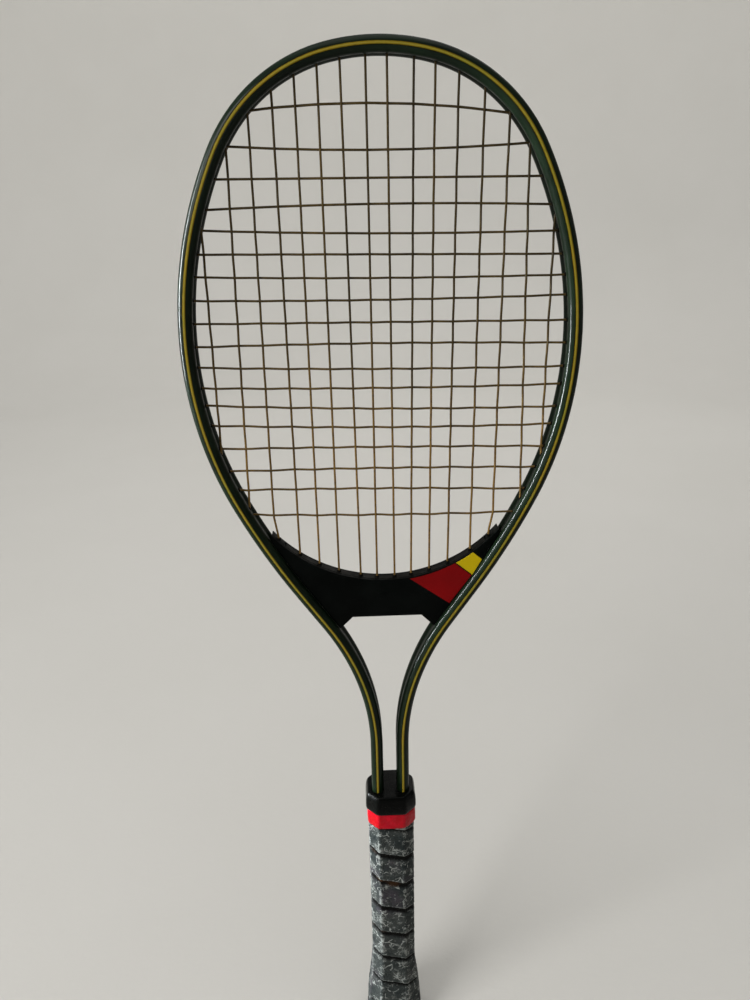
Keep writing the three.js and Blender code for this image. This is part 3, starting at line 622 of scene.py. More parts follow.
def lobe_points():
    """Half of the tube's section, round the rear lobe from channel to waist, as (y, inward)."""
    radius = LOBE_R - SKIN
    start = -180 + math.degrees(math.acos((LOBE_Y - CHANNEL_HALF) / radius))
    end = 180 - math.degrees(math.asin(WAIST_INNER / radius))
    points = [(1.2, -CHANNEL_FLOOR), (1.75, -CHANNEL_FLOOR - 0.05), (2.1, -CHANNEL_FLOOR - 0.3)]
    points += [(CHANNEL_HALF, -CHANNEL_FLOOR - 0.9), (CHANNEL_HALF + 0.08, -CHANNEL_FLOOR - 1.3)]
    edge = GROOVE_ANGLE
    angles = [*np.linspace(start + 4, -edge - 2, 15), -edge, 1 - edge]
    angles += [*np.linspace(2 - edge, edge - 2, 5), edge - 1, edge]
    angles += [*np.linspace(edge + 2, end - 8, 15)]
    for angle in angles:
        r = radius - (GROOVE_DEPTH if abs(angle) < edge - 0.5 else 0)
        a = math.radians(angle)
        points.append((LOBE_Y + r * math.cos(a), r * math.sin(a)))
    points += [(2.1, WAIST_INNER + 0.1), (1.5, WAIST_INNER - 0.08), (0.8, WAIST_INNER - 0.12)]
    return points


def tube_section():
    rear = lobe_points()
    return rear + [(-y, n) for y, n in reversed(rear)]


def build_tube():
    solid = outline_sweep(tube_section(), -HALF_LENGTH, HALF_LENGTH)
    add_piece("tube_shell", solid, PAINT, "tube", "frame_tube")


def build_stripe(name, side):
    """A painted line in the groove along the crest of one lobe. Its UV runs across it and up."""
    floor = LOBE_R - SKIN - 0.08
    angles = np.linspace(STRIPE_HALF, -STRIPE_HALF, 9)
    top = [(floor + 0.05 * math.cos(math.radians(a * 5.5)), a) for a in angles]
    under = [(LOBE_R - 0.35, a) for a in np.linspace(-STRIPE_HALF, STRIPE_HALF, 5)]
    section = []
    for r, angle in top + under:
        a = math.radians(angle)
        section.append((side * (LOBE_Y + r * math.cos(a)), r * math.sin(a)))
    end = HALF_LENGTH - STRIPE_STOP
    piece = mesh_object(name, *outline_sweep(section, -end, end), STRIPE)
    layer = piece.data.uv_layers.new(name="UVMap")
    for loop in piece.data.loops:
        vertex = loop.vertex_index
        across = 0.5 + section[vertex % len(section)][1] / STRIPE_WIDTH
        layer.data[loop.index].uv = (across, piece.data.vertices[vertex].co.z)
    place(piece, "yellow_decal")


# ---- String bed ----

STRING_R = 0.65
WEAVE = 0.6
MOUTH_INSET = 3.3
HOLE_STAGGER = 0.7
SEAT = 3.35  # how far outside the centre line a string lies in the channel
CLEAR = 1.5  # no weave closer than this to a string's mouth
BEND = 1.1
TAIL = 3.5
KNOT_AT = 4.4  # a knot's distance from the last hole
LOOP_RISE = 2.3
MAIN_LINES = [  # x at height 540, drift per 100 of height
    (-94.5, 0.7), (-79.4, 1.9), (-66.3, 0.9), (-52.8, 0), (-41.1, 0), (-29.4, -0.1),
    (-17, -0.8), (-5.5, 0.1), (5.3, 0), (17.2, 1.1), (28.2, 0.9), (39.9, 1.1),
    (53.4, 0.9), (66.6, 0.8), (80.1, -1.8), (93.3, 0.3),
]
CROSS_LINES = [  # height at the middle, drift per 100 of width, bow at 100 from the middle
    (656.2, -2.5, -9), (634.7, -1, 4), (621.4, -1.2, 0), (608.7, -0.7, -2), (594, -2.3, 1.5),
    (583.3, -2.2, 0), (571, -1.8, 1), (559.4, -0.9, 1), (547.3, -1.5, 0), (535.7, -1.5, -1),
    (521.2, -2.3, 1), (510.2, -1.6, 1), (498.1, -3.1, 1.5), (487, -2.4, 1.5), (475, -2.1, -0.5),
    (461.9, -1.6, -1), (449, -2.7, -1), (431.9, -2.1, 1.5),
]
FRAME_MAINS = (0, 1, 14, 15)  # mains whose lower ends are in the tube; the others end in the bridge
DRAWN_MAINS = (2, 13)
DRAW_IN = 2.2
DRAW_HEIGHT = 13
BRIDGE_ARC_R = 90
BRIDGE_LOW = 389.7


def mouth(distance):
    """Where a string enters the tube from inside."""
    return outline(distance, MOUTH_INSET)


def bridge_arc(x):
    """Height of the bridge's top edge."""
    return BRIDGE_LOW + BRIDGE_ARC_R - math.sqrt(BRIDGE_ARC_R**2 - x * x)


def main_x(k, z):
    """Where a main is at a height. The outermost ones of the bridge draw in below the last cross."""
    x = MAIN_LINES[k][0] + MAIN_LINES[k][1] * (z - 540) / 100
    if k in DRAWN_MAINS:
        x -= math.copysign(DRAW_IN, x) * min(max((CROSS_LINES[-1][0] - z) / DRAW_HEIGHT, 0), 1)
    return x


def cross_z(j, x):
    z, drift, bow = CROSS_LINES[j]
    return z + drift * x / 100 + bow * (x / 100) ** 2


def main_end(k, top):
    """Where a main enters the tube, as a distance round it."""
    side = -1 if MAIN_LINES[k][0] < 0 else 1

    def miss(d):
        p = mouth(side * d)
        return side * (p.x - main_x(k, p.z))

    return side * (solve(miss, 0.01, WIDEST) if top else solve(miss, WIDEST, HEAD_LENGTH))


def cross_end(j, side):
    def miss(d):
        p = mouth(side * d)
        return p.z - cross_z(j, p.x)

    return side * solve(miss, 0.01, HEAD_LENGTH)


MAIN_TOPS = [main_end(k, True) for k in range(len(MAIN_LINES))]
MAIN_BOTTOMS = {k: main_end(k, False) for k in FRAME_MAINS}
CROSS_LEFT = [cross_end(j, -1) for j in range(len(CROSS_LINES))]
CROSS_RIGHT = [cross_end(j, 1) for j in range(len(CROSS_LINES))]


def main_in_front(k, j):
    return (k + j) % 2 == 0


def woven(knots):
    """Eases a list of (place, y) knots into a smooth wave."""
    out = [knots[0]]
    for (t0, y0), (t1, y1) in zip(knots, knots[1:]):
        for i in range(1, 8):
            u = i / 7
            out.append((t0 + (t1 - t0) * u, y0 + (y1 - y0) * ease(u, 0, 1)))
    return out


def main_span(k):
    """One main from its lower mouth to its upper one."""
    if k in MAIN_BOTTOMS:
        knots = [(mouth(MAIN_BOTTOMS[k]).z, -HOLE_STAGGER)]
    else:
        knots = [(bridge_arc(main_x(k, BRIDGE_LOW)) + 0.5, 0.0)]
    high = mouth(MAIN_TOPS[k]).z
    for j in reversed(range(len(CROSS_LINES))):
        z = cross_z(j, main_x(k, CROSS_LINES[j][0]))
        x = main_x(k, z)
        crossed = mouth(CROSS_LEFT[j]).x < x < mouth(CROSS_RIGHT[j]).x
        if crossed and knots[-1][0] + CLEAR < z < high - CLEAR:
            knots.append((z, -WEAVE if main_in_front(k, j) else WEAVE))
    knots.append((high, -HOLE_STAGGER))
    return [Vector((main_x(k, z), y, z)) for z, y in woven(knots)]


def cross_span(j):
    """One cross from its left mouth to its right one."""
    left, right = mouth(CROSS_LEFT[j]).x, mouth(CROSS_RIGHT[j]).x
    knots = [(left, HOLE_STAGGER)]
    for k in range(len(MAIN_LINES)):
        x = main_x(k, cross_z(j, MAIN_LINES[k][0]))
        z = cross_z(j, x)
        low = mouth(MAIN_BOTTOMS[k]).z if k in MAIN_BOTTOMS else 0
        if left + CLEAR < x < right - CLEAR and low < z < mouth(MAIN_TOPS[k]).z:
            knots.append((x, WEAVE if main_in_front(k, j) else -WEAVE))
    knots.append((right, HOLE_STAGGER))
    return [Vector((x, y, cross_z(j, x))) for x, y in woven(knots)]


def channel_run(start, end, y):
    count = max(2, round(abs(end - start) / 2.5))
    return [outline(start + (end - start) * i / count, -SEAT, y) for i in range(count + 1)]


def bridge_loop(k):
    """The hidden loop under the bridge between one main and the next."""
    xs = np.linspace(main_x(k, BRIDGE_LOW), main_x(k + 1, BRIDGE_LOW), 7)
    return [Vector((x, 0, bridge_under(x) + LOOP_RISE)) for x in xs]


def tie_knot(hole, way, y):
    """A small overhand knot in the channel, beyond a string's last hole."""
    points = []
    for i in range(49):
        t = 2 * math.pi * i / 48
        a = 0.42 * (math.sin(t) + 2 * math.sin(2 * t))
        b = 0.42 * (math.cos(t) - 2 * math.cos(2 * t))
        c = 0.5 * -math.sin(3 * t)
        points.append(outline(hole + way * KNOT_AT + a, -SEAT + 0.35 + c * 0.9, y + b * 0.55))
    return tube(points, 0.42, 8)


def tail(hole, way, y):
    """A string's end, from its last hole to its tip."""
    return [outline(hole, -SEAT, y), outline(hole + way * TAIL, -SEAT, y)]


def lay_string(name, node, path, ends, y, material):
    """A whole string, with a tail and a knot at both ends: each end is a hole and the way from it."""
    path = tail(*ends[0], y)[::-1] + path + tail(*ends[1], y)
    parts = [tube(fillet(path, BEND), STRING_R)]
    parts += [tie_knot(hole, way, y) for hole, way in ends]
    add_piece(name, join_parts(parts), material, "string", node)


def build_strings():
    path = []
    for k in range(len(MAIN_LINES)):
        upward = k % 2 == 1
        span = main_span(k)
        path += span if upward else span[::-1]
        if k == len(MAIN_LINES) - 1:
            break
        if upward:
            path += channel_run(MAIN_TOPS[k], MAIN_TOPS[k + 1], -HOLE_STAGGER)
        elif k in MAIN_BOTTOMS and k + 1 in MAIN_BOTTOMS:
            path += channel_run(MAIN_BOTTOMS[k], MAIN_BOTTOMS[k + 1], -HOLE_STAGGER)
        else:
            path += bridge_loop(k)
    ends = [(MAIN_TOPS[0], -1), (MAIN_TOPS[-1], 1)]
    lay_string("woven_mains", "main_string", path, ends, -HOLE_STAGGER, GUT)

    path = []
    for j in range(len(CROSS_LINES)):
        rightward = j % 2 == 0
        span = cross_span(j)
        path += span if rightward else span[::-1]
        if j == len(CROSS_LINES) - 1:
            break
        holes = CROSS_RIGHT if rightward else CROSS_LEFT
        path += channel_run(holes[j], holes[j + 1], HOLE_STAGGER)
    ends = [(CROSS_LEFT[0], 1), (CROSS_LEFT[-1], -1)]
    lay_string("woven_crosses", "cross_string", path, ends, HOLE_STAGGER, DARK_GUT)


# ---- Grommet strips ----

BARREL_PROFILE = [(0, 0), (0, 1), (5.9, 0.86), (6.35, 0.6), (6.4, 0.25), (6.2, 0)]
BARREL_START = -2.5
BARREL_R = 1.3
BARREL_BORE = STRING_R + 0.08
STRIP_SECTION = [(1.75, -2.05), (1.95, -2.2), (1.95, -2.45), (1.75, -2.6)]  # half, as (y, inward)
STRIP_SPLIT = 12  # the main past which the head strip ends


def barrel(distance, y):
    """The sleeve that lines one string hole, from the strip to the inner side of the tube."""
    start = outline(distance, BARREL_START, y)
    return ring_solid(start, outline_frame(distance)[1], BARREL_R, BARREL_BORE, BARREL_PROFILE, 14)


def build_strips():
    holes = [(d, -HOLE_STAGGER) for d in [*MAIN_TOPS, *MAIN_BOTTOMS.values()]]
    holes += [(d, HOLE_STAGGER) for d in [*CROSS_LEFT, *CROSS_RIGHT]]
    end = max(MAIN_BOTTOMS.values()) + 6
    split = MAIN_TOPS[STRIP_SPLIT] + 3
    section = [(-y, n) for y, n in STRIP_SECTION] + STRIP_SECTION[::-1]
    runs = {"head": (-split, split), "left": (-end, -split - 0.3), "right": (split + 0.3, end)}
    for name, (start, stop) in runs.items():
        parts = [outline_sweep(section, start, stop)]
        parts += [barrel(d, y) for d, y in holes if start <= d <= stop]
        sleeves, node = f"{name}_strip_sleeves", f"{name}_grommet_strip"
        add_piece(sleeves, join_parts(parts), STRIP, "strip", node, crease_angle=40)


# ---- Throat bridge ----

BRIDGE_SEAT = 4.24
BRIDGE_HALF = 4.5
BAR_BOTTOM = 364.2
BAR_HALF = 21.7
PIN_HEIGHT = 386
WING_TIP = 4.3
HOLLOW_REACH = 66  # the hollow under the bridge goes past the wings
HOLLOW_HALF = 2.2
HOLLOW_ROOF = 3.6
GROOVE_REACH = 62
GROOVE_HALF = 2.7
STRIP_REACH = 61
STRIP_HALF = 2.5
EDGE_ROUND = 0.55
BAR_PROUD = 0.16
BARS = [  # low moulded bars on the crossbar: left, right, bottom, top
    (-21.5, -14.5, 377.2, 378.3), (-21.5, -14.5, 374.6, 375.7), (-5.5, 0.5, 377.4, 381.2),
    (4.5, 14.5, 378.2, 379.2), (17, 27, 378.2, 379.2),
]
BRIDGE_SLEEVE = [(0, 0), (0, 1), (1.1, 0.9), (1.4, 0.5), (1.4, 0)]
SLEEVE_R = 1.45


def seat(distance):
    """Where the bridge rests on the tube."""
    return outline(distance, BRIDGE_SEAT)


def bridge_corner():
    """Where the sloping end of the crossbar's underside meets the tube."""

    def miss(d):
        p = seat(d)
        return p.z - (BAR_BOTTOM - (p.x - BAR_HALF))

    return solve(miss, WIDEST, HALF_LENGTH)


def bridge_wing(corner):
    """Where the bridge's top edge meets the tube, less the wing's tip."""

    def miss(d):
        p = seat(d)
        return p.z - bridge_arc(p.x) + WING_TIP

    start = solve(lambda d: seat(d).x - 0.9 * BRIDGE_ARC_R, WIDEST, corner)
    return solve(miss, start, corner)


CORNER_D = bridge_corner()
WING_D = bridge_wing(CORNER_D)


def bridge_under(x):
    """Height of the bridge's underside."""
    x = abs(x)
    if x <= BAR_HALF:
        return BAR_BOTTOM
    if x <= seat(CORNER_D).x:
        return BAR_BOTTOM - (x - BAR_HALF)
    return seat(solve(lambda d: seat(d).x - x, CORNER_D, WIDEST)).z


def flat_solid(outline_points, half):
    """An upright plate: an outline of (x, z) points, thick by half on both sides of the middle."""
    return loft([[Vector((x, y, z)) for x, z in outline_points] for y in (-half, half)])


def arc_band(reach, over, under, count):
    """A band along the bridge's top edge, as (x, z) points."""
    band = [(x, bridge_arc(x) + over) for x in np.linspace(-reach, reach, count)]
    return band + [(x, bridge_arc(x) - under) for x in np.linspace(reach, -reach, count)]


def bridge_outline():
    wing = seat(WING_D)
    tip = Vector((wing.x, 0, bridge_arc(wing.x)))
    top = [Vector((x, 0, bridge_arc(x))) for x in np.linspace(-wing.x, wing.x, 61)]
    side = [seat(WING_D + (CORNER_D - WING_D) * i / 30) for i in range(31)]
    right = fillet([top[-4], top[-3], top[-2], tip, *side], 1.15, 6)[1:]
    right.append(Vector((BAR_HALF, 0, BAR_BOTTOM)))
    left = [Vector((-p.x, 0, p.z)) for p in reversed(right)]
    points = spaced(top[3:-3] + right + left)
    return [(p.x, p.z) for p in points]


def build_bridge():
    solid = flat_solid(bridge_outline(), BRIDGE_HALF)
    piece = mesh_object("moulded_bridge", *solid, BRIDGE, smooth=False)
    corner = seat(CORNER_D).x
    xs = sorted({*np.linspace(-HOLLOW_REACH, HOLLOW_REACH, 67), -corner, -BAR_HALF, BAR_HALF, corner})
    hollow = [(x, bridge_under(x) + HOLLOW_ROOF) for x in xs]
    hollow += [(x, bridge_under(x) - 12) for x in reversed(xs)]
    cut(piece, mesh_object("channel_cutter", *flat_solid(hollow, HOLLOW_HALF), BRIDGE, smooth=False))
    groove = arc_band(GROOVE_REACH, 1, 0.65, 50)
    cut(piece, mesh_object("strip_cutter", *flat_solid(groove, GROOVE_HALF), BRIDGE, smooth=False))
    round_edges(piece, EDGE_ROUND, 40)
    parts = [([v.co / MM for v in piece.data.vertices], [tuple(p.vertices) for p in piece.data.polygons])]
    parts += [raised_bar(*bar, face) for face in (-BRIDGE_HALF, BRIDGE_HALF) for bar in BARS]
    bpy.data.objects.remove(piece)
    add_piece("moulded_bridge", join_parts(parts), BRIDGE, "bridge", "throat_bridge", crease_angle=38)

    parts = [flat_solid(arc_band(STRIP_REACH, 0.12, 0.6, 60), STRIP_HALF)]
    for k in range(len(MAIN_LINES)):
        if k not in MAIN_BOTTOMS:
            x = main_x(k, bridge_arc(main_x(k, BRIDGE_LOW)))
            foot = Vector((x, 0, bridge_arc(x) - 0.3))
            parts.append(ring_solid(foot, Vector((0, 0, 1)), SLEEVE_R, BARREL_BORE, BRIDGE_SLEEVE, 16))
    node = "bridge_grommet_strip"
    add_piece("bridge_strip_sleeves", join_parts(parts), STRIP, "strip", node, crease_angle=40)


def raised_bar(x0, x1, z0, z1, face):
    """A low bar with sloping sides, standing proud of the bridge's face."""
    out = math.copysign(BAR_PROUD, face)
    rings = []
    for shrink, lift in ((0, -0.2), (0, 0.3), (0.35, 1.0)):
        left, right, low, high = x0 + shrink, x1 - shrink, z0 + shrink, z1 - shrink
        corners = ((left, low), (right, low), (right, high), (left, high))
        rings.append([Vector((x, face + out * lift, z)) for x, z in corners])
    return loft(rings)


def flash_outline(corners):
    """Subdivides a flash's outline. Its first edge follows the bridge's top edge."""
    out = []
    for i, (x0, z0) in enumerate(corners):
        x1, z1 = corners[(i + 1) % len(corners)]
        for t in np.linspace(0, 1, 10, endpoint=False):
            x = x0 + (x1 - x0) * t
            z = z0 + (z1 - z0) * t
            if i == 0:
                z += bridge_arc(x) - bridge_arc(x0) * (1 - t) - bridge_arc(x1) * t
            out.append((x, z))
    return out


RED_FLASH = [(14.6, 390.0), (42.6, 399.6), (52.9, 391.0), (39.4, 371.9)]
YELLOW_FLASH = [(43.2, 400.0), (53.6, 406.7), (59.2, 401.8), (53.5, 391.5)]
FILM_THICK = 0.11


def build_flashes():
    for side, name in ((-1, "front"), (1, "rear")):
        for corners, colour, material in ((RED_FLASH, "red", RED), (YELLOW_FLASH, "yellow", YELLOW)):
            points = flash_outline(corners)
            cx, cz = np.mean(points, axis=0)
            rings = []
            for size, lift in ((1, -0.2), (1, 0.05), (0.985, FILM_THICK)):
                y = side * (BRIDGE_HALF + lift)
                rings.append([Vector((cx + (x - cx) * size, y, cz + (z - cz) * size)) for x, z in points])
            film, node = f"{name}_{colour}_film", f"{name}_{colour}_flash"
            add_piece(film, loft(rings), material, f"{colour}_decal", node, smooth=False)


PIN_D = solve(lambda d: outline(d).z - PIN_HEIGHT, WIDEST, HALF_LENGTH)
RIVET_PROFILE = [  # how far inward of the channel's floor, radius
    (0.4, 1.9), (-0.1, 2.0), (-0.45, 1.95), (-0.8, 1.65),
    (-1.05, 1.1), (-1.15, 0.62), (-1.02, 0.5), (-0.95, 0.2),
]


def build_rivets():
    for side, name in ((-1, "left"), (1, "right")):
        inward = outline_frame(side * PIN_D)[1]
        floor = outline(side * PIN_D, -CHANNEL_FLOOR)
        back = Vector((0, 1, 0))
        across = inward.cross(back)
        rings = [circle(floor + inward * depth, back, across, r, 24) for depth, r in RIVET_PROFILE]
        head, node = f"{name}_rivet_head", f"{name}_bridge_rivet"
        add_piece(head, loft(rings), METAL, "rivet", node, crease_angle=50)


# ---- Handle ----

GRIP_WIDTH = 32
GRIP_DEPTH = 29.5
CORNER_CUT = 7
CORNER_STEPS = 7
FLARE_TOP = 72
FLARE_BOTTOM = 8
FLARE_GAIN = 9.8
WRAP_PITCH = 25
WRAP_START = -36.25
WRAP_TOP = 206
CAP_LIP = 3
CAP_TOP = 30
TAPE_BOTTOM = 200.8
TAPE_THICK = 0.55
TAPE_ROWS = 16
HANDLE_TOP = 213.2
WRAP_BOTTOM = CAP_LIP + 0.3
WRAP_THICK = 1.55
WRAP_ROWS = 300
WRAP_INNER_ROWS = 40
WRAP_SINK = 0.15  # room under the CAD box for the wrinkles
END_ROUND = 1.2
SEAM_DEPTH = 1.3
SEAM_WANDER = 0.5
SEAM_WIDTHS = [1.6, 1.9, 2.8, 3.8, 4.3, 4.7, 4.6, 4.4, 1.8, 1.6]  # from the butt up, one for each turn
COLLAR_PROFILE = [  # height, width over the flats
    (213.5, 33.3), (213.6, 34.0), (214.0, 34.4), (215.5, 34.9), (218.5, 34.8), (221, 34.5), (223.2, 33.9),
    (225, 33.1), (226.3, 32.1), (227.1, 31.0), (227.4, 29.8), (227.45, 28.6),
]
SLOT_GROW_X = 1.08
SLOT_GROW_Y = 1.04
SLOT_HEIGHTS = (212, 232)
RIM_PROFILE = [  # height, how far outside the flared handle
    (0.0, -1.6), (0.0, -0.9), (0.25, -0.3), (0.8, 0.0), (2.3, 0.0), (2.8, -0.3), (2.95, -1.5),
]
DOOR_HOLE_R = 9.3
DOOR_PROFILE = [  # height, radius
    (0.9, 0.05), (0.75, 1.6), (0.75, 3.2), (0.45, 3.5), (0.45, 6.6), (0.75, 6.9), (0.75, 8.4), (0.9, 8.8),
    (1.3, 9.0), (3.4, 9.0),
]


def flare(z):
    """The grip's size at a height, as a share of its size above the flare."""
    return 1 + FLARE_GAIN / GRIP_WIDTH * ease(z, FLARE_TOP, FLARE_BOTTOM)


def octagon(width, depth, cut_off):
    w, d = width / 2, depth / 2
    right = [(w - cut_off, -d), (w, cut_off - d), (w, d - cut_off), (w - cut_off, d)]
    return right + [(-x, z) for x, z in reversed(right)]


def rounded_octagon(inset=0.0, radius=2.6, flat_steps=13):
    """Points round the handle with their outward normals and how far round they are, from 0 to 1."""
    sizes = (GRIP_WIDTH - 2 * inset, GRIP_DEPTH - 2 * inset, CORNER_CUT - inset * 0.59)
    corners = [Vector(p) for p in octagon(*sizes)]
    lengths = [(corners[(i + 1) % 8] - corners[i]).length for i in range(8)]
    total = sum(lengths)
    out = []
    travelled = 0
    for i in range(8):
        here, ahead, beyond = (corners[(i + step) % 8] for step in (0, 1, 2))
        before, after = (here - corners[i - 1]).normalized(), (ahead - here).normalized()
        reach = radius * math.tan(before.angle(after) / 2)
        n0, n1 = Vector((before.y, -before.x)), Vector((after.y, -after.x))
        centre = here - before * reach - n0 * radius
        for s in range(CORNER_STEPS):
            t = s / (CORNER_STEPS - 1)
            normal = n0.slerp(n1, t)
            share = (travelled + (t * 2 - 1) * reach) / total
            out.append((centre + normal * radius, normal, share % 1))
        start = here + after * reach
        end = ahead - after * radius * math.tan(after.angle((beyond - ahead).normalized()) / 2)
        for s in range(1, flat_steps):
            p = start.lerp(end, s / flat_steps)
            out.append((p, n1, (travelled + (p - here).length) / total))
        travelled += lengths[i]
    return out


GIRTH = 2 * (GRIP_WIDTH + GRIP_DEPTH - 4 * CORNER_CUT) + 4 * math.sqrt(2) * CORNER_CUT
FRONT_SHARE = (GRIP_WIDTH - 2 * CORNER_CUT) / GIRTH  # of the way round, taken by the front flat


def seam_reach(round_share, z):
    """Distance above the nearest seam, and its width. The seams climb clockwise seen from above."""
    turn = (1 - FRONT_SHARE - round_share) % 1
    turns = (z - WRAP_START) / WRAP_PITCH - 0.5 - turn
    nearest = round(turns)
    t = min(max(nearest + turn - 1, 0), len(SEAM_WIDTHS) - 1.001)
    low = int(t)
    width = SEAM_WIDTHS[low] + (SEAM_WIDTHS[low + 1] - SEAM_WIDTHS[low]) * (t - low)
    return (turns - nearest) * WRAP_PITCH, width


def hump(value, middle, width):
    """One at the middle, and nothing far from it."""
    return math.exp(-(((value - middle) / width) ** 2))


def corner_marks(around):
    """One at the octagon's rounded corners, easing to nothing on its flats."""
    count = len(around)
    bends = [around[i - 1][1].angle(around[(i + 1) % count][1]) for i in range(count)]
    return [min(1.0, bend / math.radians(10)) for bend in bends]


def closed_sleeve(rings):
    """A loft along the outside and back along the inside, with the last ring joined to the first."""
    verts, faces = loft(rings, caps=False)
    count = len(rings[0])
    last = len(verts) - count
    faces += [(last + i, last + (i + 1) % count, (i + 1) % count, i) for i in range(count)]
    return verts, faces


def wrap_point(p, normal, share, z):
    """A point of the wrap's surface, how deep it is in a seam and how frayed it is, from 0 to 1."""
    gap, width = seam_reach(share, z)
    at = Vector((p.x * 0.05, p.y * 0.05, z * 0.05))
    gap += SEAM_WANDER * noise.noise(at * 3.1)
    inside = 1 - ease(abs(gap), width / 2 - 0.5, width / 2 + 0.45)
    lip = 0.12 * hump(abs(gap), width / 2 + 0.9, 0.8)
    wrinkle = 0.16 * noise.noise(at * 5.5) + 0.1 * noise.noise(at * 13)
    ridge = 0.08 * (1 - 2 * abs(noise.noise(at * 8.0)))
    ends = ease(z, WRAP_BOTTOM, WRAP_BOTTOM + END_ROUND) * (1 - ease(z, WRAP_TOP - END_ROUND, WRAP_TOP))
    height = (1 - inside) * (wrinkle + ridge) + lip - SEAM_DEPTH * inside - WRAP_SINK - (1 - ends)
    q = p * flare(z) + normal * min(height, 0.0)
    return Vector((q.x, q.y, z)), inside, hump(gap, width / 2 + 0.35, 0.45)


def build_grip():
    around = rounded_octagon()
    is_corner = corner_marks(around)
    rings = []
    marks = {"seam": [], "fray": [], "corner": []}
    for r in range(WRAP_ROWS + 1):
        z = WRAP_BOTTOM + (WRAP_TOP - WRAP_BOTTOM) * r / WRAP_ROWS
        ring = []
        for (p, normal, share), edge in zip(around, is_corner):
            point, inside, frayed = wrap_point(p, normal, share, z)
            ring.append(point)
            marks["seam"].append(inside)
            marks["fray"].append(frayed)
            marks["corner"].append(edge * (1 - inside))
        rings.append(ring)
    for z in np.linspace(WRAP_TOP, WRAP_BOTTOM, WRAP_INNER_ROWS):
        rings.append([Vector((*(p * flare(z) - n * WRAP_THICK), z)) for p, n, _ in around])
    unmarked = [0.0] * (WRAP_INNER_ROWS * len(around))
    piece = mesh_object("crackled_wrap", *closed_sleeve(rings), LEATHER)
    for name, values in marks.items():
        layer = piece.data.attributes.new(name, "FLOAT", "POINT")
        layer.data.foreach_set("value", values + unmarked)
    place(piece, "grip", "grip_wrap")


def build_tape():
    """Glossy tape round the top of the wrap, a little wrinkled, with a lapped end."""
    around = rounded_octagon(radius=3.0)
    top = HANDLE_TOP - 0.05
    rings = []
    for r in range(TAPE_ROWS + 1):
        t = r / TAPE_ROWS
        ring = []
        for p, normal, share in around:
            at = Vector((p.x * 0.07, p.y * 0.07, t * 0.9))
            low = TAPE_BOTTOM + 0.5 * noise.noise(at * 2.0)
            bulge = TAPE_THICK + 0.3 * noise.noise(at * 2.3) + 0.16 * noise.noise(at * 6)
            lap = 0.35 * ease(share, 0.02, 0.03) * (1 - ease(share, 0.19, 0.2))
            edge = 0.45 * ease(t, 0.12, 0.0) + 0.25 * ease(t, 0.9, 1.0)
            q = p + normal * (bulge + lap - edge)
            ring.append(Vector((q.x, q.y, low + (top - low) * t)))
        rings.append(ring)
    for z in (top, TAPE_BOTTOM):
        rings.append([Vector((*(p + n * 0.05), z)) for p, n, _ in around])
    add_piece("wrinkled_tape", closed_sleeve(rings), TAPE, "tape", "finishing_tape")


def build_collar():
    """The moulded cap that the shafts enter."""
    around = rounded_octagon(radius=3.0, flat_steps=6)
    rings = []
    for z, width in COLLAR_PROFILE:
        rings.append([Vector((*(p * (width / GRIP_WIDTH)), z)) for p, _, _ in around])
    piece = mesh_object("octagonal_collar", *loft(rings), COLLAR)
    section = [(y * SLOT_GROW_Y, n * SLOT_GROW_X) for y, n in tube_section()]
    for side in (-1, 1):
        slot = [[Vector((side * (SHAFT_X - n), y, z)) for y, n in section] for z in SLOT_HEIGHTS]
        cut(piece, mesh_object("slot_cutter", *loft(slot), COLLAR))
    edit = bmesh.new()
    edit.from_mesh(piece.data)
    mark_creases(edit, 34)
    edit.to_mesh(piece.data)
    edit.free()
    place(piece, "cap", "shaft_collar")


def build_cap():
    """The butt cap's rim and floor, with its round trapdoor."""
    around = rounded_octagon(inset=-0.3, radius=3.0)
    directions = [p.normalized() for p, _, _ in around]
    rings = [[Vector((*(way * DOOR_HOLE_R), z)) for way in directions] for z in (1.6, 0.0)]
    for z, grow in RIM_PROFILE:
        rings.append([Vector((*(p * flare(z) + n * grow), z)) for p, n, _ in around])
    for z in (CAP_LIP, CAP_TOP):
        rings.append([Vector((*(p * flare(z)), z)) for p, _, _ in rounded_octagon(inset=1.9, radius=2.0)])
    add_piece("butt_cap_rim", loft(rings, caps=False), COLLAR, "cap", "butt_cap", crease_angle=40)

    x, y, z = Matrix.Identity(3)
    rings = [circle(z * height, x, y, radius, 48) for height, radius in DOOR_PROFILE]
    add_piece("butt_trapdoor", loft(rings), COLLAR, "cap", "butt_door", crease_angle=35)


build_tube()
build_stripe("front_pinstripe", -1)
build_stripe("rear_pinstripe", 1)
build_strings()
build_strips()
build_bridge()
build_flashes()
build_rivets()
build_grip()
build_tape()
build_collar()
build_cap()
for node in ("front_pallet", "rear_pallet", "shaft_spacer"):
    core = frame["nodes"][node]
    core.data.materials.clear()
    core.data.materials.append(FOAM)


# ---- Studio, in metres ----

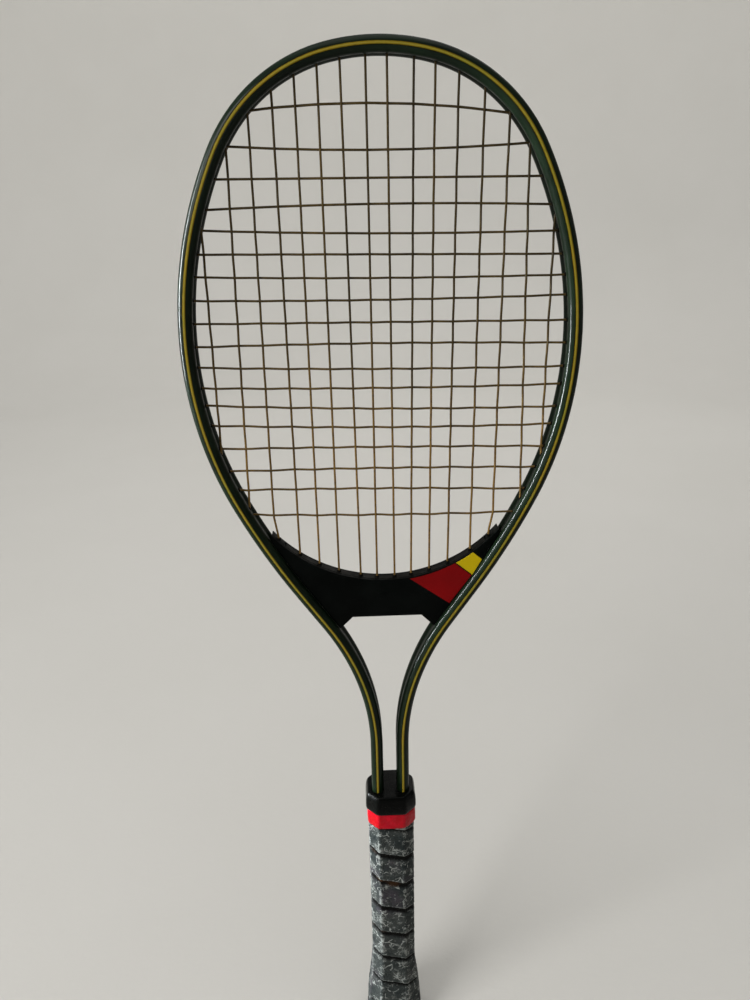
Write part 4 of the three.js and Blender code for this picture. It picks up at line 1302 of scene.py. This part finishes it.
FLOOR_R = 2.2
WALL_BEND = 1.3
LIGHTS = [  # name, place, target, width and height, watts, colour
    ("window_light", (-1.9, -0.06, 0.8), (0.1, 0, 0.8), (0.1, 1.55), 19, (0.92, 0.97, 1.0)),
    ("left_light", (-1.5, -1.2, 1.4), (0, 0, 0.4), (1.1, 1.1), 32, (1.0, 0.99, 0.97)),
    ("ceiling_light", (0.1, -0.2, 2.6), (0, 0, 0.3), (1.8, 1.8), 14, (1.0, 0.985, 0.95)),
    ("back_light", (0.8, 1.9, 2.0), (0, 0, 0.4), (1.4, 1.2), 8, (1.0, 0.98, 0.95)),
    ("wall_light", (0, 1.3, 2.9), (0, 3.5, 1.5), (3.0, 0.5), 34, (1.0, 0.99, 0.96)),
]


def add_light(name, at, target, size, power, colour):
    data = bpy.data.lights.new(name, "AREA")
    data.shape = "RECTANGLE"
    data.size, data.size_y = size
    data.energy = power
    data.color = colour
    light = bpy.data.objects.new(name, data)
    light.location = at
    light.rotation_euler = (Vector(target) - Vector(at)).to_track_quat("-Z", "Y").to_euler()
    bpy.context.collection.objects.link(light)
    return light


def floor_material():
    look = Look("studio_floor", Roughness=0.9)
    look.to("Base Color", look.mix(look.noise(3, 3), (0.6, 0.59, 0.56), (0.64, 0.63, 0.605)))
    look.bump(look.noise(180, 4), 0.0008, 0.25)
    return look.material


def build_floor():
    """A round floor that curves up into a wall all round."""
    profile = [(0.01, 0.0), (0.6, 0.0), (1.4, 0.0), (FLOOR_R, 0.0)]
    for a in np.linspace(0.08, math.pi / 2, 18):
        profile.append((FLOOR_R + WALL_BEND * math.sin(a), WALL_BEND * (1 - math.cos(a))))
    profile += [(FLOOR_R + WALL_BEND, 2.4), (FLOOR_R + WALL_BEND, 3.6)]
    x, y, z = Matrix.Identity(3)
    rings = [circle(z * height / MM, x, y, radius / MM, 96) for radius, height in profile]
    floor = mesh_object("floor", *loft(rings, caps=False), floor_material())
    return floor


def build_studio():
    floor = build_floor()
    world = bpy.data.worlds.new("studio")
    world.use_nodes = True
    glow = world.node_tree.nodes["Background"].inputs
    glow["Color"].default_value = (0.97, 0.98, 1.0, 1.0)
    glow["Strength"].default_value = 0.32
    bpy.context.scene.world = world
    window, *_ = [add_light(*light) for light in LIGHTS]
    window.data.spread = math.radians(50)
    # The window only rims the racket. On the floor it would leave a glaring patch.
    rimmed = bpy.data.collections.new("window_receivers")
    for thing in bpy.data.objects:
        if thing.type == "MESH" and thing is not floor:
            rimmed.objects.link(thing)
    window.light_linking.receiver_collection = rimmed


build_studio()
